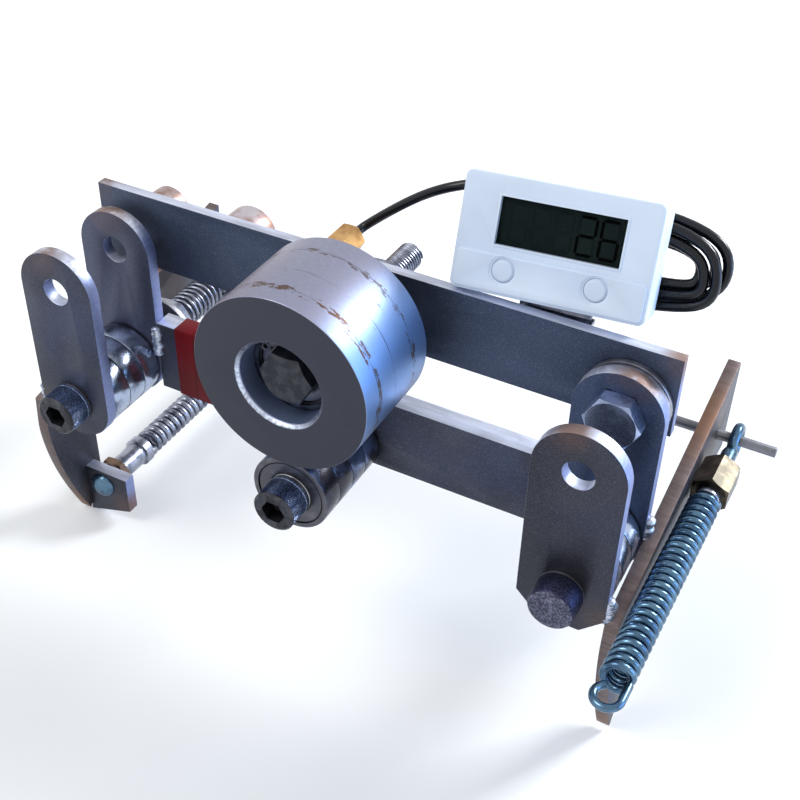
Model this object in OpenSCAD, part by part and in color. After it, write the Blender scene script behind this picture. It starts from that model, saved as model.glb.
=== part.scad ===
// Cable length counter: a measuring wheel on a hinged arm presses a cable onto rollers.
// X runs along the bars to the right, Y to the rear, Z up.
// The origin is the middle of the left side arm's flat lower edge, which sits on a machine.

/* [Bars] */
// Length of the upper bar
bar_len = 225; // [215:1:300]
// Height of both flat bars
bar_h = 30; // [26:1:36]
// Thickness of the upper bar
bar_t = 4; // [3.5:0.5:6]
// Thickness of the lower bar
low_t = 8; // [6:0.5:9]
// Height of the lower bar's middle above the roller axes
low_rise = 5.9; // [4:0.1:8]
// Width of the red band
band_w = 16; // [6:1:30]
// Distance from the left lugs to the red band
band_gap = 8.5; // [4:0.5:20]
// Thickness of the red band
band_t = 0.3; // [0.2:0.05:0.8]

/* [Lugs] */
// Width of a lug
lug_w = 31; // [30:0.5:38]
// Thickness of a lug
lug_t = 5; // [4:0.5:7]
// Diameter of the holes in the lugs
lug_hole_d = 10.5; // [10.2:0.1:11.5]
// Distance between a lug's two holes
lug_hole_pitch = 48.5; // [46:0.5:60]
// Height of the upper lug holes above the upper bar's lower edge
lug_hole_rise = 10; // [9:0.5:15]
// How far the left lugs reach past the end of the upper bar
lug_overhang = 3; // [0:0.5:8]
// Cut-off corner at the foot of the right lugs
lug_corner = 8; // [3:0.5:10]

/* [Side arms] */
// Thickness of a side arm
arm_t = 5; // [4:0.5:8]
// How far the side arms reach behind the upper bar's front face
arm_reach = 77; // [72:1:110]
// Depth of the side arms' flat lower edge below the roller axes
arm_seat_drop = 19.5; // [18:0.5:25]
// Height of a side arm at its front
arm_front_h = 13; // [8:0.5:15]
// Height of a side arm at its rear end
arm_rear_h = 40; // [34:1:50]
// Width of a claw at its root
claw_w = 25; // [22:1:35]
// Length of a claw below the arm's flat edge
claw_drop = 53.6; // [46:0.2:65]
// How far the claws stand in front of the front lugs
claw_lead = 1; // [0:0.5:4]
// Width of the tab on the left claw
tab_w = 20.4; // [17:0.2:30]
// Height of the tab at its free end
tab_h = 17; // [15:0.5:25]
// Extra height of the tab where it joins the claw
tab_slope = 6.7; // [2:0.1:8]
// Thickness of the tab
tab_t = 5; // [3:0.5:8]
// Distance from the claw's rear edge to the tab
tab_inset = 4; // [2:0.5:6]
// Height of the tab's bolt above the claw's tip
tab_bolt_rise = 15.6; // [14:0.2:20]
// Distance from the claw to the tab's bolt
tab_bolt_in = 8; // [7.5:0.5:10]

/* [Rollers] */
// Outer diameter of a roller bearing
brg_d = 30; // [26:1:30]
// Width of a roller bearing
brg_w = 9; // [7:0.5:9]
// Wall of a bearing's inner ring
brg_inner_wall = 2.9; // [2:0.1:3.5]
// Thickness of the shims beside the bearings
shim_t = 0.5; // [0.3:0.1:1]
// Diameter of the roller screws and of the large bolts
screw_d = 10; // [8:0.5:10]
// Diameter of a roller screw's head
screw_head_d = 16; // [15:0.5:18]
// Height of a roller screw's head
screw_head_h = 10; // [8:0.5:12]
// Size of the hexagon socket across its flats
socket_af = 8; // [6:0.5:9]
// Depth of the hexagon socket
socket_h = 5.5; // [3:0.5:7]
// Distance of the middle roller from the left end of the upper bar
mid_roller_x = 110; // [80:1:130]
// Distance from the left roller screw's end to the rear end of the side arms
left_screw_short = 21; // [20:1:24]
// Length of the middle roller screw
mid_screw_len = 60; // [59:1:70]
// Length of the right roller pin
right_pin_len = 50; // [48:1:60]
// Length of the sleeve behind the left lugs
tail_sleeve_len = 15; // [10:1:18]

/* [Bolts and nuts] */
// Size of the large nuts and bolt heads across their flats
nut_af = 17; // [16:0.5:19]
// Height of a large nut
nut_h = 8; // [6:0.5:8]
// Height of a large bolt head
bolt_head_h = 6.4; // [5:0.2:8]
// Distance from the edge of a large washer to the edge of the lug
big_washer_inset = 0.5; // [0:0.5:3]
// Thickness of the large washers
big_washer_t = 2.4; // [1.5:0.1:3]
// Diameter of the small washers
washer_d = 20; // [18:0.5:21]
// Thickness of the small washers
washer_t = 2; // [1:0.1:2.5]
// Length of the pivot bolt
pivot_bolt_len = 30; // [27:1:40]

/* [Measuring wheel] */
// Circumference of the measuring wheel
wheel_girth = 200; // [180:1:206]
// Width of the measuring wheel
wheel_w = 40; // [36:1:44]
// Distance of the wheel's axle from the left end of the upper bar
wheel_x = 113.3; // [100:0.1:118]
// Height of the wheel's axle above the upper bar's lower edge
wheel_z = 15.6; // [14:0.1:17]
// Gap between the wheel and the upper bar
wheel_gap = 16; // [14:0.5:20]
// Chamfer at the front of the wheel's bore
wheel_chamfer = 1.2; // [0.5:0.1:2.5]
// Depth of the rear bearing inside the wheel
wheel_recess = 0.4; // [0.2:0.1:2]
// Width of the shoulder between the wheel's bearings
wheel_shoulder_w = 11; // [6:0.5:12]
// Height of that shoulder
wheel_shoulder_h = 2; // [1:0.2:3]
// Thickness of the clip in the wheel's bore
clip_t = 1.2; // [1:0.1:2]
// Width of the clip's ring
clip_w = 3.3; // [2:0.1:4]
// Depth of the clip's groove
clip_groove_h = 0.8; // [0.5:0.1:1.5]
// Length of the wheel's axle bolt
axle_bolt_len = 80; // [72:1:90]
// Diameter of the magnet
magnet_d = 8; // [4:0.5:10]
// Thickness of the magnet
magnet_t = 4; // [2:0.5:6]

/* [Sensor] */
// Distance of the sensor from the left end of the upper bar
sensor_x = 95.5; // [93:0.5:98]
// Height of the sensor above the upper bar's lower edge
sensor_z = 24; // [22:0.5:24]
// Diameter of the sensor's threaded barrel
sensor_d = 8; // [6:0.5:9]
// Gap between the sensor and the wheel
sensor_gap = 2.5; // [1.5:0.5:5]
// Size of the sensor's rear end across its flats
sensor_af = 10; // [8.5:0.5:10]
// Length of the sensor's rear end
sensor_tail_len = 14.5; // [10:0.5:20]
// Size of the sensor's nuts across their flats
sensor_nut_af = 12; // [11:0.5:12]
// Height of the sensor's nuts
sensor_nut_h = 4; // [3:0.5:5]

/* [Springs] */
// Outer diameter of the two long springs
long_spring_d = 11.5; // [10:0.5:12]
// Wire of the two long springs
long_wire_d = 2.2; // [1.6:0.1:2.4]
// Pitch of the two long springs
long_pitch = 3.4; // [3:0.1:4]
// Number of curls on each long spring
long_curls = 26; // [20:1:30]
// Outer diameter of the spring on the left roller screw
tail_spring_d = 14; // [14:0.5:15]
// Wire of that spring
tail_wire_d = 1.4; // [1:0.1:1.4]
// Least pitch of its curls
tail_least_pitch = 2.7; // [2:0.1:4]

/* [Rear fittings] */
// Diameter of the cross rod
rod_d = 4; // [3:0.2:5]
// How far the cross rod stands out past the right side arm
rod_out_right = 22; // [20:1:30]
// How far the cross rod stands out past the left side arm
rod_out_left = 6; // [3:1:15]
// Distance of the cross rod from the rear end of the arms
rod_inset = 16; // [10:1:18]
// Height of the cross rod above the arms' flat lower edge
rod_rise = 17; // [14:0.5:20]
// Gap between the right side arm and the long nut
eye_nut_side = 0.5; // [0.3:0.1:2]
// Wire of the eye bolt's eye
eye_wire_d = 4; // [3:0.2:4]
// Inner diameter of the eye
eye_bore_d = 7; // [6:0.5:8]
// Diameter of the eye bolt's thread
eye_bolt_d = 6; // [4:0.5:7]
// Length of the long nut on the eye bolt
eye_nut_len = 16; // [12:1:18]
// Size of that nut and of the tab's nut across their flats
eye_nut_af = 13; // [11:0.5:13]
// Diameter of the left round spacer behind the upper bar
left_spacer_d = 16; // [12:0.5:18]
// Diameter of the right round spacer
right_spacer_d = 20; // [16:0.5:21]
// Thickness of those spacers
spacer_t = 10; // [6:0.5:12]
// Distance of the left spacer from the left end of the upper bar
left_spacer_x = 22.5; // [20:0.5:26]
// Distance of the right spacer from the left end of the upper bar
right_spacer_x = 59; // [48:0.5:66]
// Height of those spacers above the bar's lower edge
spacer_z = 20; // [17:0.5:21]

/* [Display] */
// Width of the display
disp_w = 65; // [62:0.5:68]
// Height of the display
disp_h = 38.5; // [38:0.5:45]
// Depth of the display
disp_d = 17; // [16:0.5:18]
// Wall of the display's case
disp_wall = 1.6; // [1:0.1:2]
// Depth of the front half of the case
disp_front_d = 5; // [4.5:0.1:6]
// How far the display leans back, in degrees
disp_lean = 23; // [18:1:24]
// How far the display turns, in degrees
disp_turn = 4; // [2:1:5]
// How far the display's right end rises, in degrees
disp_roll = 2; // [0:1:3]
// Distance from the display's left side to the pivot
disp_in = 65; // [63:0.5:68]
// Width of the window
window_w = 41; // [34:0.5:42]
// Height of the window
window_h = 15.5; // [12:0.5:16]
// Distance of the window from the display's left side
window_x = 13; // [10:0.5:15]
// Height of the window above the display's lower edge
window_z = 16.3; // [15.5:0.1:18]
// Diameter of a button
button_d = 7.5; // [6:0.5:8]
// How far a button stands out
button_out = 0.8; // [0.5:0.1:1.2]
// How far a button is pressed in
button_travel = 0.8; // [0.4:0.1:0.8]
// Distance of the pause button from the display's left side
pause_x = 17.4; // [12:0.2:22]
// Distance of the reset button from the display's left side
reset_x = 48; // [42:0.5:52]
// Height of the buttons above the display's lower edge
button_z = 8.3; // [7:0.1:9]
// Diameter of the button cell
cell_d = 11.6; // [7:0.2:12]
// Thickness of the button cell
cell_t = 5.4; // [3:0.1:6]
// Thickness of the bracket's sheet
sheet_t = 1.5; // [1:0.1:2]
// Width of the bracket
bracket_w = 25; // [20:1:28]

/* [Cable] */
// Diameter of the sensor's cable
cable_d = 3.5; // [3:0.1:3.6]

/* [Hidden] */

// Overrun of the cuts, and the clearances of fits, turning fits and side play
over = 1;
fit_gap = 0.02;
turn_gap = 0.05;
side_gap = 0.2;
round_fn = 96;
small_fn = 48;

// Lugs and bars, front to back, with the upper bar's front face at Y zero
lug_gap = 3 * brg_w + 2 * shim_t;
rear_lug_y = -lug_t - 2 * big_washer_t - side_gap;
front_lug_y = rear_lug_y - lug_gap - lug_t;
left_x = lug_w / 2 - lug_overhang;
right_x = bar_len - lug_w / 2;
hole_z = lug_hole_rise;
axis_z = lug_hole_rise - lug_hole_pitch;
low_x0 = left_x + lug_w / 2;
low_x1 = right_x - lug_w / 2;
low_z0 = axis_z + low_rise - bar_h / 2;
low_back = rear_lug_y + low_t;

// Side arms and claws
seat_z = axis_z - arm_seat_drop;
arm_front_y = front_lug_y - claw_lead;
arm_front_top_y = front_lug_y;
claw_back_y = arm_front_y + claw_w;
claw_tip_z = seat_z - claw_drop;
left_arm_x = left_x - lug_w / 2 - arm_t;
right_arm_x = right_x + lug_w / 2;
claw_taper_share = 0.6;
claw_bend_share = 1.7;
claw_back_share = 0.765;
claw_steps = 12;
seat_mid_y = (claw_back_y + arm_reach) / 2;

// Tab, its bolt and the left long spring
tab_back_y = claw_back_y - tab_inset;
tab_front_y = tab_back_y - tab_t;
tab_x0 = left_arm_x + arm_t;
tab_bolt_x = tab_x0 + tab_bolt_in;
tab_bolt_z = claw_tip_z + tab_bolt_rise;
tab_top_share = 0.41;
dome_r = 5.5;
dome_h = 3.2;
flange_d = 14.4;
flange_t = 1.5;
tab_nut_h = 5;
plug_len = 17;
plug_d = 10;
plug_collar_d = 12.4;
plug_collar_len = 4;
tab_bolt_r = 3;
nut_back_y = tab_back_y + tab_nut_h;
plug_back_y = nut_back_y + plug_len;

// Cross rod, eye bolt and the right long spring
rod_y = arm_reach - rod_inset;
rod_z = seat_z + rod_rise;
eye_x = right_arm_x + arm_t + eye_nut_side + eye_nut_af / 2;
eye_y = rod_y - (eye_bore_d - rod_d) / 2 + 2 * turn_gap;
eye_major = (eye_bore_d + eye_wire_d) / 2;
eye_nut_gap = 12;
eye_nut_y1 = eye_y - eye_major - eye_nut_gap;
eye_nut_y0 = eye_nut_y1 - eye_nut_len;
stub_len = 3;
stub_d = 9;
right_spring_y = eye_nut_y0 - stub_len;

// Rollers
screw_r = screw_d / 2;
ring_r = screw_r + brg_inner_wall;
ring_slot_r = ring_r + turn_gap;
rings_y = front_lug_y + lug_t + shim_t;
mid_back_shim = 1;
mid_rings_y = rear_lug_y - mid_back_shim - 4 * brg_w;
head_shim = 1;
head_chamfer = 0.8;
left_head_y = front_lug_y - head_shim;
left_screw_len = arm_reach - left_screw_short - left_head_y;
mid_head_y = mid_rings_y - head_shim;
lug_back_y = rear_lug_y + lug_t;
sleeve_y1 = lug_back_y + tail_sleeve_len;
tail_washer_y1 = sleeve_y1 + big_washer_t;
tail_nut_y1 = tail_washer_y1 + nut_h;
end_nut_y = left_head_y + left_screw_len - nut_h;
tail_lead = tail_wire_d;
tail_room = end_nut_y - tail_nut_y1 - 2 * tail_lead;
tail_curls = floor(tail_room / tail_least_pitch);
tail_pitch = tail_room / tail_curls;

// Pivot
big_washer_d = lug_w - 2 * big_washer_inset;
pivot_back_y = bar_t + side_gap;
pivot_washer_y1 = pivot_back_y + washer_t;
pivot_hole_r = screw_r + turn_gap;

// Measuring wheel, from its rear face forwards
wheel_r = wheel_girth / (2 * PI);
wheel_back_y = -wheel_gap;
wheel_front_y = wheel_back_y - wheel_w;
back_ring_y = wheel_back_y - wheel_recess - brg_w;
shoulder_y = back_ring_y - wheel_shoulder_w;
front_ring_y = shoulder_y - brg_w;
clip_y = front_ring_y - clip_t;
axle_washer_t = 0.6;
axle_head_y = front_ring_y - axle_washer_t;
axle_nut_y = bar_t + washer_t;
magnet_out = norm([sensor_x - wheel_x, sensor_z - wheel_z]);
magnet_turn = -40;

// Sensor
sensor_y0 = wheel_back_y + sensor_gap;
sensor_tail_y = bar_t + sensor_nut_h;
sensor_end_y = sensor_tail_y + sensor_tail_len;

// Display, in its own frame: across, depth, up
disp_lift = 2;
disp_lead = 0.5;
disp_x = right_x - disp_in;
disp_corner = [disp_x, -disp_lead, bar_h + disp_lift];
lens_t = 1.3;
lens_in = 0.3;
lens_gap = 0.1;
panel_over = 3;
board_in = 1;
board_y = disp_front_d + board_in;
board_t = 1.6;
board_gap = 0.3;
panel_y = lens_in + lens_t + lens_gap;
pad_t = 1;
post_d = 4;
post_in = 4.5;
button_gap = 0.15;
button_skirt = 0.9;
skirt_t = 0.8;
gland_x = 6;
gland_z = 5;
gland_d = 7;
gland_len = 2;
leg_z0 = -5.5;
leg_z1 = 34;
shelf_drop = 8;
shelf_z = bar_h - shelf_drop;
foot_drop = 16;
bracket_in = 20;
bracket_x = disp_x + bracket_in;
bracket_screw_d = 4;
bracket_head_d = 7;
bracket_head_h = 2.5;
bracket_bite = 3;

// Coil: flat loops that wind in on a rear layer and out again on a front layer
coil_x = 50;
coil_z = 18.3;
coil_run = 20;
coil_r_in = 7;
coil_pitch = 4.3;
coil_layer = 4.8;
coil_loops = 2;
coil_rings = 24;
coil_run_share = 1.6;
coil_gap = 3.2;
coil_front_y = disp_d + pad_t + sheet_t + coil_gap;
coil_rear_y = coil_front_y + coil_layer;
coil_r_out = coil_r_in + coil_loops * coil_pitch;
coil_top_z = coil_z + coil_r_out;
coil_low_z = coil_z - coil_r_out;
tie_x = 40;
tie_w = 3;
tie_t = 1.2;
tie_gap = 0.15;

// Places on the way of the sensor's cable, as shares of the way from the sensor to the display
cable_shares = [[0, 0.23, 0], [0.01, 0.43, 0.02], [0.07, 0.5, 0.1], [0.16, 0.5, 0.26],
    [0.28, 0.5, 0.43], [0.39, 0.5, 0.6], [0.5, 0.5, 0.74], [0.62, 0.5, 0.86], [0.73, 0.6, 0.93],
    [0.87, 0.8, 0.98], [1, 1, 1]];
// The same cable beyond the coil, in the display's frame
tail_route = [[42, 22.7, 2.7], [37, 22.7, 2.7], [32, 22.9, 2.8], [27, 23.6, 3], [22.5, 24.7, 3.3],
    [18, 25.8, 3.7], [15.5, 26.3, 3.9], [13, 26.5, 4.1], [10.3, 26, 4.4], [8, 24.4, 4.7],
    [6.5, 22.2, 4.9]];

// Side counts of the wound and swept tubes
tube_sides = 6;
cable_sides = 8;
curl_rings = 8;

// Vectors, and a tube swept along a path
function unit(v) = v / norm(v);
function turned(t, n) = unit(n - (n * t) * t);
function tangents(p) = [for (i = [0 : len(p) - 1])
    unit(p[min(i + 1, len(p) - 1)] - p[max(i - 1, 0)])];
function carried(t, first) = [for (i = 0, n = turned(t[0], first); i < len(t);
    i = i + 1, n = turned(t[min(i, len(t) - 1)], n)) n];
function ring_points(c, t, n, r, sides) = let (u = turned(t, n), v = cross(t, u))
    [for (k = [0 : sides - 1]) c + r * (cos(360 * k / sides) * u + sin(360 * k / sides) * v)];
function least_gap(p, d, skip) = min([for (i = [0 : len(p) - 1 - skip], j = [i + skip : len(p) - 1])
    norm(p[i] - p[j])]) - d;

module tube(path, d, sides, first) {
    t = tangents(path);
    n = carried(t, first);
    last = len(path) - 1;
    points = [for (i = [0 : last]) each ring_points(path[i], t[i], n[i], d / 2, sides)];
    walls = [for (i = [0 : last - 1], k = [0 : sides - 1])
        let (a = i * sides + k, b = i * sides + (k + 1) % sides)
        each [[a, a + sides, b], [b, a + sides, b + sides]]];
    near = [for (k = [1 : sides - 2]) [0, k, k + 1]];
    far = [for (k = [1 : sides - 2]) [last * sides, last * sides + k + 1, last * sides + k]];
    polyhedron(points = points, faces = concat(walls, near, far), convexity = 10);
}

// From the drawing's corner to the origin on the left arm's flat edge
module placed() {
    translate([-left_arm_x - arm_t / 2, -seat_mid_y, -seat_z]) children();
}

// The display's frame
module in_display() {
    translate(disp_corner) rotate([0, 0, disp_turn]) rotate([-disp_lean, 0, 0])
        rotate([0, -disp_roll, 0]) children();
}
function about_x(p, a) = [p.x, p.y * cos(a) - p.z * sin(a), p.y * sin(a) + p.z * cos(a)];
function about_y(p, a) = [p.x * cos(a) + p.z * sin(a), p.y, p.z * cos(a) - p.x * sin(a)];
function about_z(p, a) = [p.x * cos(a) - p.y * sin(a), p.x * sin(a) + p.y * cos(a), p.z];
function display_point(p) = disp_corner
    + about_z(about_x(about_y(p, -disp_roll), -disp_lean), disp_turn);

// Round, hexagonal and ring-shaped pieces whose axis runs from front to back
module rod(x, z, y0, y1, r) {
    translate([x, y0, z]) rotate([-90, 0, 0]) cylinder(h = y1 - y0, r = r, $fn = round_fn);
}
module hex_rod(x, z, y0, y1, af) {
    translate([x, y0, z]) rotate([-90, 0, 0]) cylinder(h = y1 - y0, d = af / cos(30), $fn = 6);
}
module ring(x, z, y0, y1, r, bore) {
    difference() {
        rod(x, z, y0, y1, r);
        rod(x, z, y0 - over, y1 + over, bore);
    }
}
module nut(x, z, y0, h, af, bore) {
    difference() {
        hex_rod(x, z, y0, y0 + h, af);
        rod(x, z, y0 - over, y0 + h + over, bore);
    }
}
module chamfered_head(x, z, y0, y1, d, chamfer) {
    translate([x, y0, z]) rotate([-90, 0, 0]) rotate_extrude($fn = round_fn)
        polygon([[0, 0], [d / 2 - chamfer, 0], [d / 2, chamfer], [d / 2, y1 - y0], [0, y1 - y0]]);
}
module socket_screw(x, z, y_under, length) {
    difference() {
        union() {
            chamfered_head(x, z, y_under - screw_head_h, y_under, screw_head_d, head_chamfer);
            rod(x, z, y_under - over, y_under + length, screw_r);
        }
        hex_rod(x, z, y_under - screw_head_h - over, y_under - screw_head_h + socket_h, socket_af);
    }
}
module hex_bolt(x, z, y_under, length) {
    hex_rod(x, z, y_under - bolt_head_h, y_under, nut_af);
    rod(x, z, y_under - over, y_under + length, screw_r);
}

// Plates
module lug_shape(x, y0, rounded, holes) {
    foot_z = axis_z - lug_w / 2;
    translate([x, y0 + lug_t, 0]) rotate([90, 0, 0]) linear_extrude(height = lug_t) difference() {
        union() {
            translate([0, hole_z]) circle(d = lug_w, $fn = round_fn);
            translate([-lug_w / 2, axis_z]) square([lug_w, lug_hole_pitch]);
            if (rounded) translate([0, axis_z]) circle(d = lug_w, $fn = round_fn);
            else translate([-lug_w / 2, foot_z]) square([lug_w, lug_w]);
        }
        if (!rounded) for (side = [-1, 1]) polygon([[side * (lug_w / 2 + over), foot_z - over],
            [side * (lug_w / 2 - lug_corner - over), foot_z - over],
            [side * (lug_w / 2 + over), foot_z + lug_corner + over]]);
        if (holes) for (z = [hole_z, axis_z])
            translate([0, z]) circle(d = lug_hole_d, $fn = round_fn);
    }
}
module arm_shape(x) {
    front = [for (i = [0 : claw_steps]) let (s = i / claw_steps)
        [claw_back_y - claw_w * (1 - claw_taper_share * pow(s, claw_bend_share)), seat_z - claw_drop * s]];
    back = [[claw_back_y, seat_z - claw_drop * claw_back_share], [claw_back_y, seat_z],
        [arm_reach, seat_z], [arm_reach, seat_z + arm_rear_h], [arm_front_top_y, seat_z + arm_front_h]];
    translate([x, 0, 0]) rotate([90, 0, 90]) linear_extrude(height = arm_t)
        polygon(concat(front, back));
}
module side_arm(x) {
    difference() {
        arm_shape(x);
        translate([x - over, rod_y, rod_z]) rotate([0, 90, 0])
            cylinder(h = arm_t + 2 * over, r = rod_d / 2 + turn_gap, $fn = small_fn);
    }
}

// Bearings
module outer_ring(x, z, y0) { ring(x, z, y0, y0 + brg_w - fit_gap, brg_d / 2, ring_slot_r); }
module inner_ring(x, z, y0) { ring(x, z, y0, y0 + brg_w - fit_gap, ring_r, screw_r + fit_gap); }

// Springs, standing on their own Z axis
function curls(r, pitch, count, lead) = [for (i = [0 : count * curl_rings])
    let (a = 360 * i / curl_rings) [r * cos(a), r * sin(a), lead + pitch * i / curl_rings]];
function hook(r, z) = concat([[r, 0, z]],
    [for (a = [30 : 30 : 240]) [r * cos(a), 0, z + r * sin(a)]]);
function long_path() = let (r = (long_spring_d - long_wire_d) / 2,
        top = long_wire_d + long_pitch * long_curls + long_wire_d + r)
    concat([[r, 0, 0]], curls(r, long_pitch, long_curls, long_wire_d), hook(r, top));
function tail_path() = let (r = (tail_spring_d - tail_wire_d) / 2)
    concat([[r, 0, 0]], curls(r, tail_pitch, tail_curls, tail_lead),
        [[r, 0, end_nut_y - tail_nut_y1]]);
module long_spring() {
    path = long_path();
    echo(str("least gap, long spring: ", least_gap(path, long_wire_d, curl_rings - 2)));
    tube(path, long_wire_d, tube_sides, [0, 1, 0]);
}

// Coil in the display's frame, and the turns that it makes
function coil_angle_end() = 360 * (2 * coil_loops + 0.5);
function coil_radius(a) = a < 360 * coil_loops ? coil_r_out - coil_pitch * a / 360
    : a < 360 * coil_loops + 180 ? coil_r_in
    : coil_r_in + coil_pitch * (a - 360 * coil_loops - 180) / 360;
function coil_depth(a) = coil_rear_y
    - coil_layer * min(1, max(0, (a - 360 * coil_loops) / 180));
function coil_point(a) = let (r = coil_radius(a),
        run = coil_run * min(1, max(-1, coil_run_share * sin(a))))
    [coil_x + run + r * sin(a), coil_depth(a), coil_z + r * cos(a)];
function coil_path() = concat([[coil_x - cable_d, coil_rear_y, coil_top_z]],
    [for (a = [0 : 360 / coil_rings : coil_angle_end()]) coil_point(a)],
    [[coil_x - cable_d, coil_front_y, coil_low_z]]);

// Lower frame
module lower_bar() {
    color("lightslategray") placed() difference() {
        translate([low_x0, rear_lug_y, low_z0]) cube([low_x1 - low_x0, low_t, bar_h]);
        rod(mid_roller_x, axis_z, rear_lug_y - over, low_back + over, lug_hole_d / 2);
    }
}
module red_band() {
    color("firebrick") placed() difference() {
        translate([low_x0 + band_gap, rear_lug_y - band_t, low_z0 - band_t])
            cube([band_w, low_t + 2 * band_t, bar_h + 2 * band_t]);
        translate([low_x0, rear_lug_y, low_z0]) cube([band_gap + band_w + over, low_t, bar_h]);
    }
}
module left_front_lug() { color("slategray") placed() lug_shape(left_x, front_lug_y, true, true); }
module left_rear_lug() { color("slategray") placed() lug_shape(left_x, rear_lug_y, true, true); }
module right_front_lug() { color("slategray") placed() lug_shape(right_x, front_lug_y, false, true); }
module right_rear_lug() { color("slategray") placed() lug_shape(right_x, rear_lug_y, false, true); }
module left_side_arm() { color("lightslategray") placed() side_arm(left_arm_x); }
module right_side_arm() { color("lightslategray") placed() side_arm(right_arm_x); }
module left_spring_tab() {
    top = tab_bolt_z + tab_h * tab_top_share;
    color("slategray") placed() difference() {
        translate([tab_x0, tab_back_y, 0]) rotate([90, 0, 0]) linear_extrude(height = tab_t)
            polygon([[0, top], [0, top - tab_h - tab_slope], [tab_w, top - tab_h], [tab_w, top]]);
        rod(tab_bolt_x, tab_bolt_z, tab_front_y - over, tab_back_y + over, tab_bolt_r + side_gap);
    }
}

// Weld metal on top of the arms at each lug, and where the lower bar meets the rear lugs
bead_r = 2.6;
bead_low = 3;
rear_bead_h = 15;
front_bead_h = 7;
bar_bead_h = 11;
module arm_bead(edge_x, y, h) {
    z = seat_z + arm_front_h;
    translate([edge_x, y, z - bead_low]) cylinder(h = h + bead_low, r = bead_r, $fn = small_fn);
    translate([edge_x, y, z + h]) sphere(r = bead_r, $fn = small_fn);
}
module bar_bead(x) {
    top = low_z0 + bar_h - bead_r;
    translate([x, rear_lug_y, top - bar_bead_h]) cylinder(h = bar_bead_h, r = bead_r, $fn = small_fn);
    for (z = [top, top - bar_bead_h]) translate([x, rear_lug_y, z]) sphere(r = bead_r, $fn = small_fn);
}
module weld_beads() {
    color("silver") placed() difference() {
        union() {
            for (x = [left_arm_x + arm_t, right_arm_x]) {
                arm_bead(x, rear_lug_y + lug_t / 2, rear_bead_h);
                arm_bead(x, front_lug_y + lug_t / 2, front_bead_h);
            }
            bar_bead(low_x0);
            bar_bead(low_x1);
        }
        for (y = [front_lug_y, rear_lug_y]) {
            lug_shape(left_x, y, true, false);
            lug_shape(right_x, y, false, false);
        }
        arm_shape(left_arm_x);
        arm_shape(right_arm_x);
        translate([low_x0, rear_lug_y, low_z0]) cube([low_x1 - low_x0, low_t, bar_h]);
        for (x = [left_x, right_x]) rod(x, axis_z, rings_y - shim_t, rear_lug_y, brg_d / 2 + bead_r);
    }
}
module cross_rod() {
    x0 = left_arm_x - rod_out_left;
    color("gray") placed() translate([x0, rod_y, rod_z]) rotate([0, 90, 0])
        cylinder(h = right_arm_x + arm_t + rod_out_right - x0, d = rod_d, $fn = small_fn);
}
module tab_bolt() {
    ball_r = (dome_r * dome_r + dome_h * dome_h) / (2 * dome_h);
    color("steelblue") placed() {
        intersection() {
            translate([tab_bolt_x, tab_front_y - dome_h + ball_r, tab_bolt_z])
                sphere(r = ball_r, $fn = round_fn);
            rod(tab_bolt_x, tab_bolt_z, tab_front_y - dome_h - over, tab_front_y, dome_r);
        }
        rod(tab_bolt_x, tab_bolt_z, tab_front_y - dome_h / 2, nut_back_y + plug_len / 2, tab_bolt_r);
    }
}
module tab_nut() {
    color("saddlebrown") placed() difference() {
        union() {
            rod(tab_bolt_x, tab_bolt_z, tab_back_y, tab_back_y + flange_t, flange_d / 2);
            hex_rod(tab_bolt_x, tab_bolt_z, tab_back_y, nut_back_y, eye_nut_af);
        }
        rod(tab_bolt_x, tab_bolt_z, tab_back_y - over, nut_back_y + over, tab_bolt_r + fit_gap);
    }
}
module spring_plug() {
    color("gainsboro") placed() difference() {
        union() {
            rod(tab_bolt_x, tab_bolt_z, nut_back_y, plug_back_y, plug_d / 2);
            rod(tab_bolt_x, tab_bolt_z, plug_back_y - plug_collar_len, plug_back_y, plug_collar_d / 2);
        }
        rod(tab_bolt_x, tab_bolt_z, nut_back_y - over, nut_back_y + plug_len / 2, tab_bolt_r + fit_gap);
    }
}
module left_tension_spring() {
    color("silver") placed() translate([tab_bolt_x, plug_back_y, tab_bolt_z]) rotate([-90, 0, 0])
        long_spring();
}
module right_eye_bolt() {
    color("cadetblue") placed() {
        translate([eye_x, eye_y, rod_z]) rotate([0, 90, 0]) rotate_extrude($fn = round_fn)
            translate([eye_major, 0]) circle(d = eye_wire_d, $fn = small_fn);
        rod(eye_x, rod_z, eye_nut_y0 - stub_len / 2, eye_y - eye_major, eye_bolt_d / 2);
    }
}
module right_spring_nut() {
    color("darkkhaki") placed() translate([eye_x, 0, rod_z]) rotate([0, 30, 0])
        nut(0, 0, eye_nut_y0, eye_nut_len, eye_nut_af, eye_bolt_d / 2 + fit_gap);
}
module right_spring_sleeve() {
    color("gainsboro") placed() difference() {
        rod(eye_x, rod_z, right_spring_y, eye_nut_y0, stub_d / 2);
        rod(eye_x, rod_z, eye_nut_y0 - stub_len / 2, eye_nut_y0 + over, eye_bolt_d / 2 + fit_gap);
    }
}
module right_tension_spring() {
    color("lightsteelblue") placed() translate([eye_x, right_spring_y, rod_z]) rotate([90, 0, 0])
        long_spring();
}

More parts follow.
